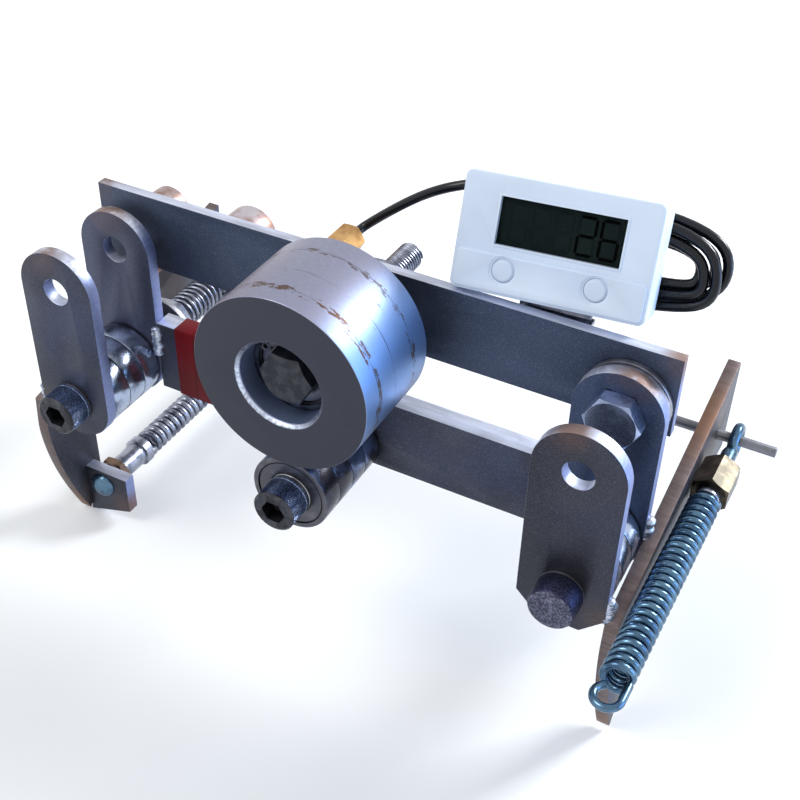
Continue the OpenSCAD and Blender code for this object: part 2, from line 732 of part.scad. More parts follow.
// Screws, nuts and washers of the lower frame
module left_roller_screw() {
    color("darkslategray") placed() socket_screw(left_x, axis_z, left_head_y, left_screw_len);
}
module left_tail_sleeve() {
    color("gray") placed() ring(left_x, axis_z, lug_back_y, sleeve_y1, screw_head_d / 2, screw_r + fit_gap);
}
module left_tail_spring() {
    path = tail_path();
    echo(str("least gap, tail spring: ", least_gap(path, tail_wire_d, curl_rings - 2)));
    color("whitesmoke") placed() translate([left_x, tail_nut_y1, axis_z]) rotate([-90, 0, 0])
        tube(path, tail_wire_d, tube_sides, [0, 1, 0]);
}
module middle_roller_screw() {
    color("darkslategray") placed() socket_screw(mid_roller_x, axis_z, mid_head_y, mid_screw_len);
}
module right_roller_pin() {
    color("dimgray") placed() {
        chamfered_head(right_x, axis_z, left_head_y - screw_head_h, left_head_y, screw_head_d,
            head_chamfer);
        rod(right_x, axis_z, left_head_y - over, left_head_y + right_pin_len, screw_r);
    }
}
module frame_nuts() {
    bore = screw_r + fit_gap;
    color("gainsboro") placed() {
        nut(left_x, axis_z, tail_washer_y1, nut_h, nut_af, bore);
        nut(left_x, axis_z, end_nut_y, nut_h, nut_af, bore);
        nut(mid_roller_x, axis_z, low_back + washer_t, nut_h, nut_af, bore);
        nut(right_x, axis_z, lug_back_y + washer_t, nut_h, nut_af, bore);
        nut(right_x, hole_z, pivot_washer_y1, nut_h, nut_af, bore);
    }
}
module frame_washers() {
    bore = screw_r + fit_gap;
    color("silver") placed() {
        ring(mid_roller_x, axis_z, low_back, low_back + washer_t, washer_d / 2, bore);
        ring(right_x, axis_z, lug_back_y, lug_back_y + washer_t, washer_d / 2, bore);
        ring(right_x, hole_z, pivot_back_y, pivot_washer_y1, washer_d / 2, bore);
    }
}
module large_washers() {
    bore = screw_r + fit_gap;
    color("silver") placed() {
        for (i = [0, 1]) let (y = lug_back_y + i * big_washer_t)
            ring(right_x, hole_z, y, y + big_washer_t - fit_gap, big_washer_d / 2, bore);
        ring(left_x, axis_z, sleeve_y1, tail_washer_y1, big_washer_d / 2, bore);
    }
}
module roller_shims() {
    bore = screw_r + fit_gap;
    color("gray") placed() {
        for (x = [left_x, right_x]) {
            ring(x, axis_z, left_head_y, front_lug_y, screw_head_d / 2, bore);
            ring(x, axis_z, rings_y - shim_t, rings_y, ring_r, bore);
            ring(x, axis_z, rear_lug_y - shim_t, rear_lug_y, ring_r, bore);
        }
        ring(mid_roller_x, axis_z, mid_head_y, mid_rings_y, ring_r, bore);
        ring(mid_roller_x, axis_z, rear_lug_y - mid_back_shim, rear_lug_y, ring_r, bore);
    }
}
module roller_inner_rings() {
    color("lightgray") placed() {
        for (x = [left_x, right_x], i = [0 : 2]) inner_ring(x, axis_z, rings_y + i * brg_w);
        for (i = [0 : 3]) inner_ring(mid_roller_x, axis_z, mid_rings_y + i * brg_w);
    }
}
module pivot_bolt() {
    color("slategray") placed() hex_bolt(right_x, hole_z, rear_lug_y, pivot_bolt_len);
}

// Rollers
module left_roller() {
    color("silver") placed() for (i = [0 : 2]) outer_ring(left_x, axis_z, rings_y + i * brg_w);
}
module middle_roller() {
    color("silver") placed() for (i = [0 : 3]) outer_ring(mid_roller_x, axis_z, mid_rings_y + i * brg_w);
}
module right_roller() {
    color("silver") placed() for (i = [0 : 2]) outer_ring(right_x, axis_z, rings_y + i * brg_w);
}

// Upper arm
module upper_bar() {
    color("lightslategray") placed() difference() {
        cube([bar_len, bar_t, bar_h]);
        rod(right_x, hole_z, -over, bar_t + over, pivot_hole_r);
        rod(wheel_x, wheel_z, -over, bar_t + over, lug_hole_d / 2);
        rod(sensor_x, sensor_z, -over, bar_t + over, sensor_d / 2 + turn_gap);
        for (x = bracket_screw_places()) rod(x, bracket_screw_z, bar_t - bracket_bite, bar_t + over,
            bracket_screw_d / 2 + fit_gap);
    }
}
module axle_bolt() { color("dimgray") placed() hex_bolt(wheel_x, wheel_z, axle_head_y, axle_bolt_len); }
module axle_spacers() {
    bore = screw_r + fit_gap;
    color("gray") placed() {
        ring(wheel_x, wheel_z, axle_head_y, front_ring_y, ring_r, bore);
        ring(wheel_x, wheel_z, shoulder_y, back_ring_y, ring_r, bore);
        ring(wheel_x, wheel_z, back_ring_y + brg_w, 0, ring_r, bore);
        ring(wheel_x, wheel_z, bar_t, axle_nut_y, washer_d / 2, bore);
    }
}
module axle_nut() {
    color("silver") placed() nut(wheel_x, wheel_z, axle_nut_y, nut_h, nut_af, screw_r + fit_gap);
}
module axle_inner_rings() {
    color("lightgray") placed() for (y = [front_ring_y, back_ring_y]) inner_ring(wheel_x, wheel_z, y);
}
module sensor_body() {
    color("darkgoldenrod") placed() {
        rod(sensor_x, sensor_z, sensor_y0, sensor_tail_y + over, sensor_d / 2);
        hex_rod(sensor_x, sensor_z, sensor_tail_y, sensor_end_y, sensor_af);
    }
}
module sensor_nuts() {
    color("goldenrod") placed() for (y = [-sensor_nut_h, bar_t])
        nut(sensor_x, sensor_z, y, sensor_nut_h, sensor_nut_af, sensor_d / 2 + fit_gap);
}
module rear_spacers() {
    color("dimgray") placed() {
        rod(left_spacer_x, spacer_z, bar_t, bar_t + spacer_t, left_spacer_d / 2);
        rod(right_spacer_x, spacer_z, bar_t, bar_t + spacer_t, right_spacer_d / 2);
    }
}
bracket_screw_z = (shelf_z - sheet_t + shelf_z - foot_drop) / 2;
bracket_screw_in = 6;
function bracket_screw_places() = [bracket_x + bracket_screw_in, bracket_x + bracket_w - bracket_screw_in];
module display_bracket() {
    leg_y = disp_d + pad_t;
    shelf_y = display_point([bracket_x - disp_x + bracket_w, leg_y, leg_z0]).y + sheet_t;
    color("silver") placed() difference() {
        union() {
            translate([bracket_x, bar_t, shelf_z - foot_drop]) cube([bracket_w, sheet_t, foot_drop]);
            translate([bracket_x, bar_t, shelf_z - sheet_t])
                cube([bracket_w, shelf_y - bar_t, sheet_t]);
            in_display() translate([bracket_x - disp_x, leg_y, leg_z0])
                cube([bracket_w, sheet_t, leg_z1 - leg_z0]);
        }
        for (x = bracket_screw_places()) rod(x, bracket_screw_z, bar_t - over, bar_t + sheet_t + over,
            bracket_screw_d / 2 + turn_gap);
    }
}
module bracket_screws() {
    y = bar_t + sheet_t;
    color("gray") placed() for (x = bracket_screw_places()) {
        rod(x, bracket_screw_z, bar_t - bracket_bite, y + bracket_head_h / 2, bracket_screw_d / 2);
        difference() {
            rod(x, bracket_screw_z, y, y + bracket_head_h, bracket_head_d / 2);
            hex_rod(x, bracket_screw_z, y + bracket_head_h / 2, y + bracket_head_h + over,
                bracket_screw_d / 2);
        }
    }
}
module display_pad() {
    color("whitesmoke") placed() in_display() translate([bracket_x - disp_x, disp_d, disp_wall])
        cube([bracket_w, pad_t, leg_z1 - disp_wall]);
}

// Display case, written in the display's frame
module case_hollow() {
    translate([disp_wall, disp_wall, disp_wall])
        cube([disp_w - 2 * disp_wall, disp_d - 2 * disp_wall, disp_h - 2 * disp_wall]);
}
module display_back() {
    color("whitesmoke") placed() in_display() {
        difference() {
            translate([0, disp_front_d, 0]) cube([disp_w, disp_d - disp_front_d, disp_h]);
            case_hollow();
        }
        for (x = [post_in, disp_w - post_in], z = [post_in, disp_h - post_in])
            rod(x, z, board_y + board_t, disp_d - disp_wall / 2, post_d / 2);
        rod(gland_x, gland_z, disp_d - disp_wall / 2, disp_d + gland_len, gland_d / 2);
    }
}
module display_front() {
    color("whitesmoke") placed() in_display() difference() {
        cube([disp_w, disp_front_d, disp_h]);
        case_hollow();
        translate([window_x, -over, window_z]) cube([window_w, disp_wall + 2 * over, window_h]);
        for (x = [pause_x, reset_x]) rod(x, button_z, -over, disp_wall + over, button_d / 2 + button_gap);
    }
}
module lcd_panel() {
    color("darkolivegreen") placed() in_display()
        translate([window_x - panel_over, panel_y, window_z - panel_over / 2])
        cube([window_w + 2 * panel_over, board_y - panel_y, window_h + panel_over]);
}
module lcd_window() {
    color("darkslategray") placed() in_display()
        translate([window_x + lens_gap, lens_in, window_z + lens_gap])
        cube([window_w - 2 * lens_gap, lens_t, window_h - 2 * lens_gap]);
}
module circuit_board() {
    edge = disp_wall + board_gap;
    color("seagreen") placed() in_display() {
        translate([edge, board_y, edge]) cube([disp_w - 2 * edge, board_t, disp_h - 2 * edge]);
        for (x = [pause_x, reset_x]) rod(x, button_z, button_foot_y + button_travel + side_gap, board_y,
            button_d / 4);
    }
}
module button_cell() {
    color("silver") placed() in_display()
        rod(disp_w / 2, disp_h / 2, board_y + board_t, board_y + board_t + cell_t, cell_d / 2);
}
button_foot_y = disp_wall + side_gap + skirt_t;
module button(x) {
    placed() in_display() {
        rod(x, button_z, -button_out, button_foot_y, button_d / 2);
        rod(x, button_z, button_foot_y - skirt_t, button_foot_y, button_d / 2 + button_skirt);
    }
}
module pause_button() { color("white") button(pause_x); }
module reset_button() { color("white") button(reset_x); }

// Cable
module sensor_cable() {
    goal = display_point([cable_d, coil_rear_y, coil_top_z]);
    way = goal - [sensor_x, sensor_end_y, sensor_z];
    cable_route = [for (s = cable_shares) [sensor_x + s.x * way.x, sensor_end_y + s.y * way.y,
        sensor_z + s.z * way.z]];
    ahead = [for (k = [3, 2, 1])
        display_point([coil_x - cable_d - k * 3 * cable_d, coil_rear_y, coil_top_z])];
    first = concat([[sensor_x, sensor_end_y, sensor_z]], cable_route, ahead,
        [display_point([coil_x - cable_d, coil_rear_y, coil_top_z])]);
    second = concat([[coil_x - cable_d, coil_front_y, coil_low_z]], tail_route,
        [[gland_x, disp_d + gland_len + cable_d / 4, gland_z], [gland_x, disp_d + gland_len, gland_z]]);
    color("black") placed() {
        tube(first, cable_d, cable_sides, [0, 0, 1]);
        in_display() tube(second, cable_d, cable_sides, [0, 0, 1]);
    }
}
module cable_coil() {
    path = coil_path();
    echo(str("least gap, coil: ", least_gap(path, cable_d, coil_rings / 2)));
    color("black") placed() in_display() tube(path, cable_d, tube_sides, [0, 1, 0]);
}
module cable_tie() {
    reach = cable_d / 2 + tie_gap;
    y0 = coil_front_y - reach;
    z0 = coil_z + coil_r_in - reach;
    size = [tie_w, coil_layer + 2 * reach, coil_r_out - coil_r_in + 2 * reach];
    color("black") placed() in_display() difference() {
        translate([tie_x, y0 - tie_t, z0 - tie_t]) cube([size.x, size.y + 2 * tie_t, size.z + 2 * tie_t]);
        translate([tie_x - over, y0, z0]) cube([size.x + 2 * over, size.y, size.z]);
    }
}

// Measuring wheel
module wheel() {
    bore_r = brg_d / 2 + fit_gap;
    magnet_x = wheel_x + magnet_out * cos(magnet_turn);
    magnet_z = wheel_z + magnet_out * sin(magnet_turn);
    color("silver") placed() difference() {
        rod(wheel_x, wheel_z, wheel_front_y, wheel_back_y, wheel_r);
        rod(wheel_x, wheel_z, wheel_front_y - over, shoulder_y, bore_r);
        rod(wheel_x, wheel_z, back_ring_y, wheel_back_y + over, bore_r);
        rod(wheel_x, wheel_z, wheel_front_y - over, wheel_back_y + over, bore_r - wheel_shoulder_h);
        rod(wheel_x, wheel_z, clip_y, front_ring_y, bore_r + clip_groove_h);
        translate([wheel_x, wheel_front_y, wheel_z]) rotate([-90, 0, 0])
            cylinder(h = wheel_chamfer, r1 = bore_r + wheel_chamfer, r2 = bore_r, $fn = round_fn);
        rod(magnet_x, magnet_z, wheel_back_y - magnet_t, wheel_back_y + over, magnet_d / 2 + fit_gap);
    }
}
module wheel_outer_rings() {
    color("gray") placed() for (y = [front_ring_y, back_ring_y]) outer_ring(wheel_x, wheel_z, y);
}
module wheel_clip() {
    r = brg_d / 2 + clip_groove_h;
    color("dimgray") placed() ring(wheel_x, wheel_z, clip_y + fit_gap, front_ring_y, r, r - clip_w);
}
module wheel_magnet() {
    x = wheel_x + magnet_out * cos(magnet_turn);
    z = wheel_z + magnet_out * sin(magnet_turn);
    color("lightgray") placed() rod(x, z, wheel_back_y - magnet_t, wheel_back_y, magnet_d / 2);
}

lower_bar();
red_band();
left_front_lug();
left_rear_lug();
right_front_lug();
right_rear_lug();
left_side_arm();
right_side_arm();
left_spring_tab();
weld_beads();
cross_rod();
tab_bolt();
tab_nut();
spring_plug();
left_tension_spring();
right_eye_bolt();
right_spring_nut();
right_spring_sleeve();
right_tension_spring();
left_roller_screw();
left_tail_sleeve();
left_tail_spring();
middle_roller_screw();
right_roller_pin();
frame_nuts();
frame_washers();
large_washers();
roller_shims();
roller_inner_rings();
pivot_bolt();
left_roller();
middle_roller();
right_roller();
upper_bar();
axle_bolt();
axle_spacers();
axle_nut();
axle_inner_rings();
sensor_body();
sensor_nuts();
rear_spacers();
display_bracket();
bracket_screws();
display_pad();
display_back();
display_front();
lcd_panel();
lcd_window();
circuit_board();
button_cell();
sensor_cable();
cable_coil();
cable_tie();
wheel();
wheel_outer_rings();
wheel_clip();
wheel_magnet();
pause_button();
reset_button();
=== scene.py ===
# %% [markdown]
# # A cable length counter, finished in Blender
# Flat steel bars and lugs carry ball-bearing rollers, a steel wheel rolls on the cable, and a
# display counts its turns. The construction comes from CAD. This lesson gives each piece its edges,
# threads, coils and finishes.

# %% The frame, and lengths in millimetres
from math import cos, hypot, pi, radians, sin

import bmesh
import bpy
from mathutils import Matrix, Vector


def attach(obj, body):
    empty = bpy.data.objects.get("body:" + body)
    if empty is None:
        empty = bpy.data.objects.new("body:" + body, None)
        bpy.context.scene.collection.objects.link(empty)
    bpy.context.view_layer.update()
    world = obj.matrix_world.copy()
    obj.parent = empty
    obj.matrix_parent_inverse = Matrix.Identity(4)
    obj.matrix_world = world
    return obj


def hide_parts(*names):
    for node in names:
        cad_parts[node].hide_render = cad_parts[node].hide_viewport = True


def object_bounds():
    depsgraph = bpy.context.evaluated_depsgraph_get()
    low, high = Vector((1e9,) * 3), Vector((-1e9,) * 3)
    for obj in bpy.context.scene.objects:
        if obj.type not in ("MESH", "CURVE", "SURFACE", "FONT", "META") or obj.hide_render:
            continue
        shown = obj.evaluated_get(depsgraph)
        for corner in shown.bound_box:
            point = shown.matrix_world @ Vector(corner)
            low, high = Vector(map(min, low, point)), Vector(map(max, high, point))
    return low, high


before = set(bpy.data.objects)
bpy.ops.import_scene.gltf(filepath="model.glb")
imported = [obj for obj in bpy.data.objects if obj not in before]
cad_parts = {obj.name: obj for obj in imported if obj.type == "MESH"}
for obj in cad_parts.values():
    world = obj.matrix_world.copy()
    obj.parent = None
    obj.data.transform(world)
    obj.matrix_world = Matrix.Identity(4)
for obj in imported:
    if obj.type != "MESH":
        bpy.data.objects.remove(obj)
cad_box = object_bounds()

MM = 0.001
# The drawing starts at the corner of the upper bar, and the part at the middle of the left arm's foot
DRAWING_TO_PART = Vector((5.5, -29.0, 58.0))


def place(x, y, z):
    """A point of the drawing, in millimetres, as a point of the part in metres."""
    return (Vector((x, y, z)) + DRAWING_TO_PART) * MM


def link_new(name, data):
    """A new object of this data, in the scene."""
    made = bpy.data.objects.new(name, data)
    bpy.context.collection.objects.link(made)
    return made


print("nodes from CAD:", len(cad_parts))

# %% [markdown]
# ## Camera
# The photograph looks down from the front and the right. The camera is set by its place and by the
# directions of its three axes.

# %% Camera
VIEW_RIGHT = Vector((0.88255, 0.46974, 0.02114))
VIEW_UP = Vector((-0.30584, 0.53928, 0.78463))
VIEW_BACK = Vector((0.35717, -0.69894, 0.61961))
VIEW_FROM = (0.29416, -0.34402, 0.31445)

camera = link_new("camera", bpy.data.cameras.new("camera"))
turn = Matrix((VIEW_RIGHT, VIEW_UP, VIEW_BACK)).transposed().to_4x4()
camera.matrix_world = Matrix.Translation(VIEW_FROM) @ turn
camera.data.lens = 56.498
camera.data.sensor_width = 36
camera.data.clip_start = 0.01
bpy.context.scene.camera = camera
print("camera at", tuple(round(v, 3) for v in camera.location))

# %% [markdown]
# ## The display's own frame
# The display leans back, turns a little and rises to the right. It is measured across, into the
# depth and up from its lower front corner, and one matrix brings that to the part.

# %% Display frame
DISPLAY_CORNER = (144.5, -0.5, 32.0)
display_frame = Matrix.Translation(place(*DISPLAY_CORNER))
for degrees, axis in ((4, "Z"), (-23, "X"), (-2, "Y")):
    display_frame = display_frame @ Matrix.Rotation(radians(degrees), 4, axis)


def on_display(across, depth, up):
    """A point in the display's frame, in millimetres, as a point of the part in metres."""
    return display_frame @ (Vector((across, depth, up)) * MM)


print("display corner:", tuple(round(v, 4) for v in on_display(0, 0, 0)))

# %% [markdown]
# ## The cable
# One cable runs from the sensor up behind the display, winds into flat loops there, in on a rear
# layer and out again on a front layer, and goes into the display's back. It is one line with a
# round section.

# %% Cable
CABLE_D = 3.5
COIL_MIDDLE, COIL_HEIGHT, COIL_RUN = 50.0, 18.3, 20.0
COIL_INNER, COIL_PITCH, COIL_LOOPS = 7.0, 4.3, 2
COIL_FRONT, COIL_LAYER = 22.7, 4.8
COIL_OUTER = COIL_INNER + COIL_LOOPS * COIL_PITCH
# The loops hang down a little at their free right end, the front ones more, and reach less far
REAR_SAG, FRONT_SAG, SHORTER = 0.8, 4.2, 2.6
POINTS_PER_LOOP = 48
SOFTENING = 14


def coil_point(angle):
    """A point of the coil, by how far the winding has turned, in degrees."""
    wound_in = 360 * COIL_LOOPS
    if angle < wound_in:
        radius = COIL_OUTER - COIL_PITCH * angle / 360
    else:
        radius = COIL_INNER + COIL_PITCH * max(0, angle - wound_in - 180) / 360
    side = sin(radians(angle))
    run = COIL_RUN * min(1, max(-1, 1.6 * side))
    forward = min(1, max(0, (angle - wound_in) / 180))
    sag = max(0, side) ** 2
    return on_display(COIL_MIDDLE + run + radius * side - SHORTER * forward * sag,
                      COIL_FRONT + COIL_LAYER * (1 - forward),
                      COIL_HEIGHT + radius * cos(radians(angle))
                      - (REAR_SAG + (FRONT_SAG - REAR_SAG) * forward) * sag)


def smooth_line(points, pieces=4):
    """The same points with more between them, on a smooth line through all of them."""
    line = []
    for i in range(len(points) - 1):
        before, start = points[max(i - 1, 0)], points[i]
        end, after = points[i + 1], points[min(i + 2, len(points) - 1)]
        for k in range(pieces):
            t = k / pieces
            line.append(0.5 * (2 * start + (end - before) * t
                               + (2 * before - 5 * start + 4 * end - after) * t ** 2
                               + (3 * start - before - 3 * end + after) * t ** 3))
    return line + [points[-1]]


SENSOR_X, SENSOR_Z = 95.5, 24.0
SENSOR_EXIT = (SENSOR_X, 22.5, SENSOR_Z)
rising = [SENSOR_EXIT, (95.5, 26, 24), (96, 29, 24.5), (99, 30, 27), (104, 30, 31.5), (110, 30, 36.5),
          (116, 30, 41.3), (122, 30, 45.4), (128, 30, 48.8), (134, 31.5, 51), (141, 34.5, 52.2),
          (148, 37.5, 52.9)]
behind = [(across, COIL_FRONT + COIL_LAYER, 33.9) for across in (15, 25.5, 36, 46.5)]
back_in = [(46.5, 22.7, 2.7), (42, 22.7, 2.7), (37, 22.7, 2.7), (32, 22.9, 2.8), (27, 23.6, 3),
           (22.5, 24.7, 3.3), (18, 25.8, 3.7), (15.5, 26.3, 3.9), (13, 26.5, 4.1), (10.3, 26, 4.4),
           (8, 24.4, 4.7), (6.5, 22.2, 4.9), (6, 19.875, 5), (6, 19, 5)]
to_coil = smooth_line([place(*p) for p in rising] + [on_display(*p) for p in behind])
turns = [coil_point(360 * k / POINTS_PER_LOOP)
         for k in range(int(POINTS_PER_LOOP * (2 * COIL_LOOPS + 0.5)) + 1)]
from_coil = smooth_line([on_display(*p) for p in back_in])
cable_line = to_coil + turns[1:] + from_coil[1:]
for _ in range(SOFTENING):
    cable_line = [cable_line[0], cable_line[1]] + [
        cable_line[i] * 0.5 + (cable_line[i - 1] + cable_line[i + 1]) * 0.25
        for i in range(2, len(cable_line) - 2)] + cable_line[-2:]
cable_length = sum((b - a).length for a, b in zip(cable_line, cable_line[1:]))


def alone(piece):
    """Only this piece is selected, and it is the active one."""
    bpy.ops.object.select_all(action="DESELECT")
    piece.select_set(True)
    bpy.context.view_layer.objects.active = piece


def wire_mesh(name, points, diameter, resolution):
    """One open line with a round section, in metres, drawn as a curve and turned into a mesh."""
    data = bpy.data.curves.new(name, "CURVE")
    data.dimensions = "3D"
    data.bevel_depth = diameter / 2
    data.bevel_resolution = resolution
    data.use_fill_caps = True
    spline = data.splines.new("POLY")
    spline.points.add(len(points) - 1)
    for point, target in zip(points, spline.points):
        target.co = (*point, 1)
    spline.use_smooth = True
    alone(link_new(name, data))
    bpy.ops.object.convert(target="MESH")
    return bpy.context.object


cable = wire_mesh("cable_run", cable_line, CABLE_D * MM, 5)
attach(cable, "upper_arm")
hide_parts("sensor_cable", "cable_coil")
print("cable length:", round(cable_length, 3), "m in", len(cable_line), "points")

# %% [markdown]
# ## Writing a finish as a sum
# A wrapped socket that understands + - * ** lets a mask be written as an expression, and every
# operation becomes a Math node by itself.


# %% A finish and its sockets
class Flow:
    """A socket of a node tree that can be added, multiplied and so on."""

    def __init__(self, nodes, socket):
        self.nodes = nodes
        self.socket = socket

    def _with(self, kind, first, second):
        return self.nodes.add("Math", {0: first, 1: second}, operation=kind)[0]

    def __add__(self, other): return self._with("ADD", self, other)
    def __radd__(self, other): return self._with("ADD", other, self)
    def __sub__(self, other): return self._with("SUBTRACT", self, other)
    def __rsub__(self, other): return self._with("SUBTRACT", other, self)
    def __mul__(self, other): return self._with("MULTIPLY", self, other)
    def __rmul__(self, other): return self._with("MULTIPLY", other, self)
    def __pow__(self, other): return self._with("POWER", self, other)


class Nodes:
    """A node tree, to which every node is added in the same way."""

    def __init__(self, tree):
        self.tree = tree

    def add(self, kind, values=None, names=False, **settings):
        """Any node: its settings first, then the values or links of its sockets."""
        node = self.tree.nodes.new("ShaderNode" + kind)
        for key, value in settings.items():
            setattr(node, key, value)
        for key, value in (values or {}).items():
            self.feed(node.inputs[key], value)
        if names:
            return {s.name: Flow(self, s) for s in node.outputs}
        return [Flow(self, s) for s in node.outputs if s.enabled]

    def feed(self, socket, value):
        if isinstance(value, Flow):
            self.tree.links.new(value.socket, socket)
        elif isinstance(value, tuple) and len(value) == 3 and len(socket.default_value) == 4:
            socket.default_value = (*value, 1)
        else:
            socket.default_value = value

    def seen(self):
        """1 for what the camera sees, straight or in a shiny piece or a lens, and 0 for light."""
        ray = self.add("LightPath", names=True)
        return ray["Is Camera Ray"] + ray["Is Glossy Ray"] + ray["Is Transmission Ray"]


class Finish(Nodes):
    """A material in the making."""

    def __init__(self, name):
        self.material = bpy.data.materials.new(name)
        self.material.use_nodes = True
        super().__init__(self.material.node_tree)
        self.shader = self.tree.nodes["Principled BSDF"]
        self.here = self.add("TexCoord", names=True)

    def at(self, centre=(0, 0, 0), scale=(1, 1, 1)):
        """Object coordinates measured from a point of the part, in metres, then scaled."""
        moved = self.add("VectorMath", {0: self.here["Object"], 1: tuple(centre)}, operation="SUBTRACT")[0]
        return self.add("Mapping", {"Vector": moved, "Scale": scale})[0]

    def noise(self, scale, detail=3.0, rough=0.55, where=None):
        return self.add("TexNoise", {"Vector": where or self.here["Object"], "Scale": scale,
                                     "Detail": detail, "Roughness": rough})[0]

    def step(self, value, low, high):
        """0 below low, 1 above high and smooth between."""
        return self.add("MapRange", {"Value": value, "From Min": low, "From Max": high},
                        interpolation_type="SMOOTHSTEP")[0]

    def near(self, value, full, none):
        """1 below full, 0 above none and smooth between."""
        return 1 - self.step(value, full, none)

    def mix(self, share, first, second):
        return self.add("Mix", {0: share, 6: first, 7: second}, data_type="RGBA")[0]

    def axes(self, vector):
        return self.add("SeparateXYZ", {0: vector})

    def facing(self, axis):
        """How far a face looks along an axis of the object, from -1 to 1."""
        return self.axes(self.here["Normal"])[axis]

    def size(self, value):
        return self.add("Math", {0: value}, operation="ABSOLUTE")[0]

    def distance(self, point, flat=(1, 1, 1)):
        """How far a place is from a point of the part, in metres, with some axes left out."""
        return self.add("VectorMath", {0: self.at(point, flat)}, operation="LENGTH")[0]

    def set(self, **values):
        for key, value in values.items():
            self.feed(self.shader.inputs[key.replace("_", " ")], value)

    def bump(self, height, distance, strength):
        self.set(Normal=self.add("Bump", {"Height": height, "Distance": distance,
                                          "Strength": strength})[0])


def shade(colour, share):
    """A darker colour of the same hue."""
    return tuple(share * c for c in colour)


# %% [markdown]
# ## Floor and light
# In a bright, even room with a few large lamps the plates stay calm and their edges catch the
# light. The floor is white paper that keeps a soft shadow. Where the lamps fade, its own glow
# takes over.

# %% Floor, world and lamps
PAPER_GLOW, GLOW_NEAR = 0.58, 0.22
PAPER_LIT, PAPER_SEEN = (0.93, 0.93, 0.93), (0.8, 0.8, 0.8)
LIGHT_MIDDLE, FADE_FROM, FADE_TO = (0.12, 0, 0), 0.1, 0.6
FLOOR_DROP, FLOOR_SIZE = 0.4, 8
BLACK, WHITE = (0.0, 0.0, 0.0), (1.0, 1.0, 1.0)

paper = Finish("floor_paper")
glow = paper.seen()
faded = paper.step(paper.distance(LIGHT_MIDDLE, (1, 1, 0)), FADE_FROM, FADE_TO)
paper.set(Roughness=0.9, Specular_IOR_Level=0.1, Emission_Strength=PAPER_GLOW,
          Emission_Color=paper.mix(glow * (GLOW_NEAR + (1 - GLOW_NEAR) * faded), BLACK, WHITE),
          Base_Color=paper.mix(glow, PAPER_LIT, PAPER_SEEN))

lowest = cad_box[0][2] - FLOOR_DROP * MM
bpy.ops.object.select_all(action="DESELECT")
bpy.ops.mesh.primitive_plane_add(size=FLOOR_SIZE, location=(0, 0, lowest))
floor = bpy.context.object
floor.name = "floor"
floor.data.materials.append(paper.material)

bpy.context.scene.view_settings.view_transform = "Standard"
world = bpy.data.worlds.new("studio")
bpy.context.scene.world = world
world.use_nodes = True
sky = Nodes(world.node_tree)
sky.tree.nodes.clear()
soft = sky.add("Background", {"Color": (0.9, 0.95, 1), "Strength": 0.5})[0]
white = sky.add("Background", {"Color": WHITE, "Strength": 1.0})[0]
sky.add("OutputWorld", {0: sky.add("MixShader", {0: sky.seen(), 1: soft, 2: white})[0]})

LAMP_TARGET = Vector((0.12, -0.03, 0.04))
LAMPS = (("key", (-0.5, -0.7, 1.3), 0.7, 11.0, (1.0, 0.985, 0.97)),
         ("back", (0.85, 0.95, 0.75), 0.4, 20.0, (0.94, 0.97, 1.0)),
         ("side", (1.25, 0.2, 0.22), 0.6, 6.0, (0.22, 0.5, 1.0)))
for name, location, size, power, colour in LAMPS:
    data = bpy.data.lights.new(name, "AREA")
    data.size = size
    data.energy = power
    data.color = colour
    lamp = link_new(name, data)
    lamp.location = location
    lamp.rotation_euler = (LAMP_TARGET - Vector(location)).to_track_quat("-Z", "Y").to_euler()
print("floor at", round(lowest, 4))

# %% [markdown]
# ## Finishes
# Each finish is one function of the values that set its pieces apart, so that a bar, a lug and an
# arm share a steel but not its stains, nor its painted light tint.

# %% [markdown]
# ### Plate steel
# Rolled plate has a dark, bluish scale on its broad faces, and its sawn edges are bare. The
# direction of a face tells them apart. Over it lie grain, clouds, and brown tints where welding
# heated the plate. Sawn edges that face right get a painted blue reflection, and each piece can get
# a painted tint of the light it catches.

# %% Plate steel
SCALE_DARK = (0.034, 0.037, 0.049)
SCALE_LIGHT = (0.07, 0.075, 0.099)
SCALE_BLUE = (0.046, 0.062, 0.12)
SAWN_PALE = (0.64, 0.68, 0.82)
SAWN_BROWN = (0.17, 0.13, 0.125)
SAWN_PAINTED_BLUE_REFLECTION = (0.13, 0.18, 0.4)
SAWN_GREY = (0.33, 0.32, 0.41)
HEAT_BROWN = (0.19, 0.1, 0.06)
SAW_STROKES = (60, 300, 900)


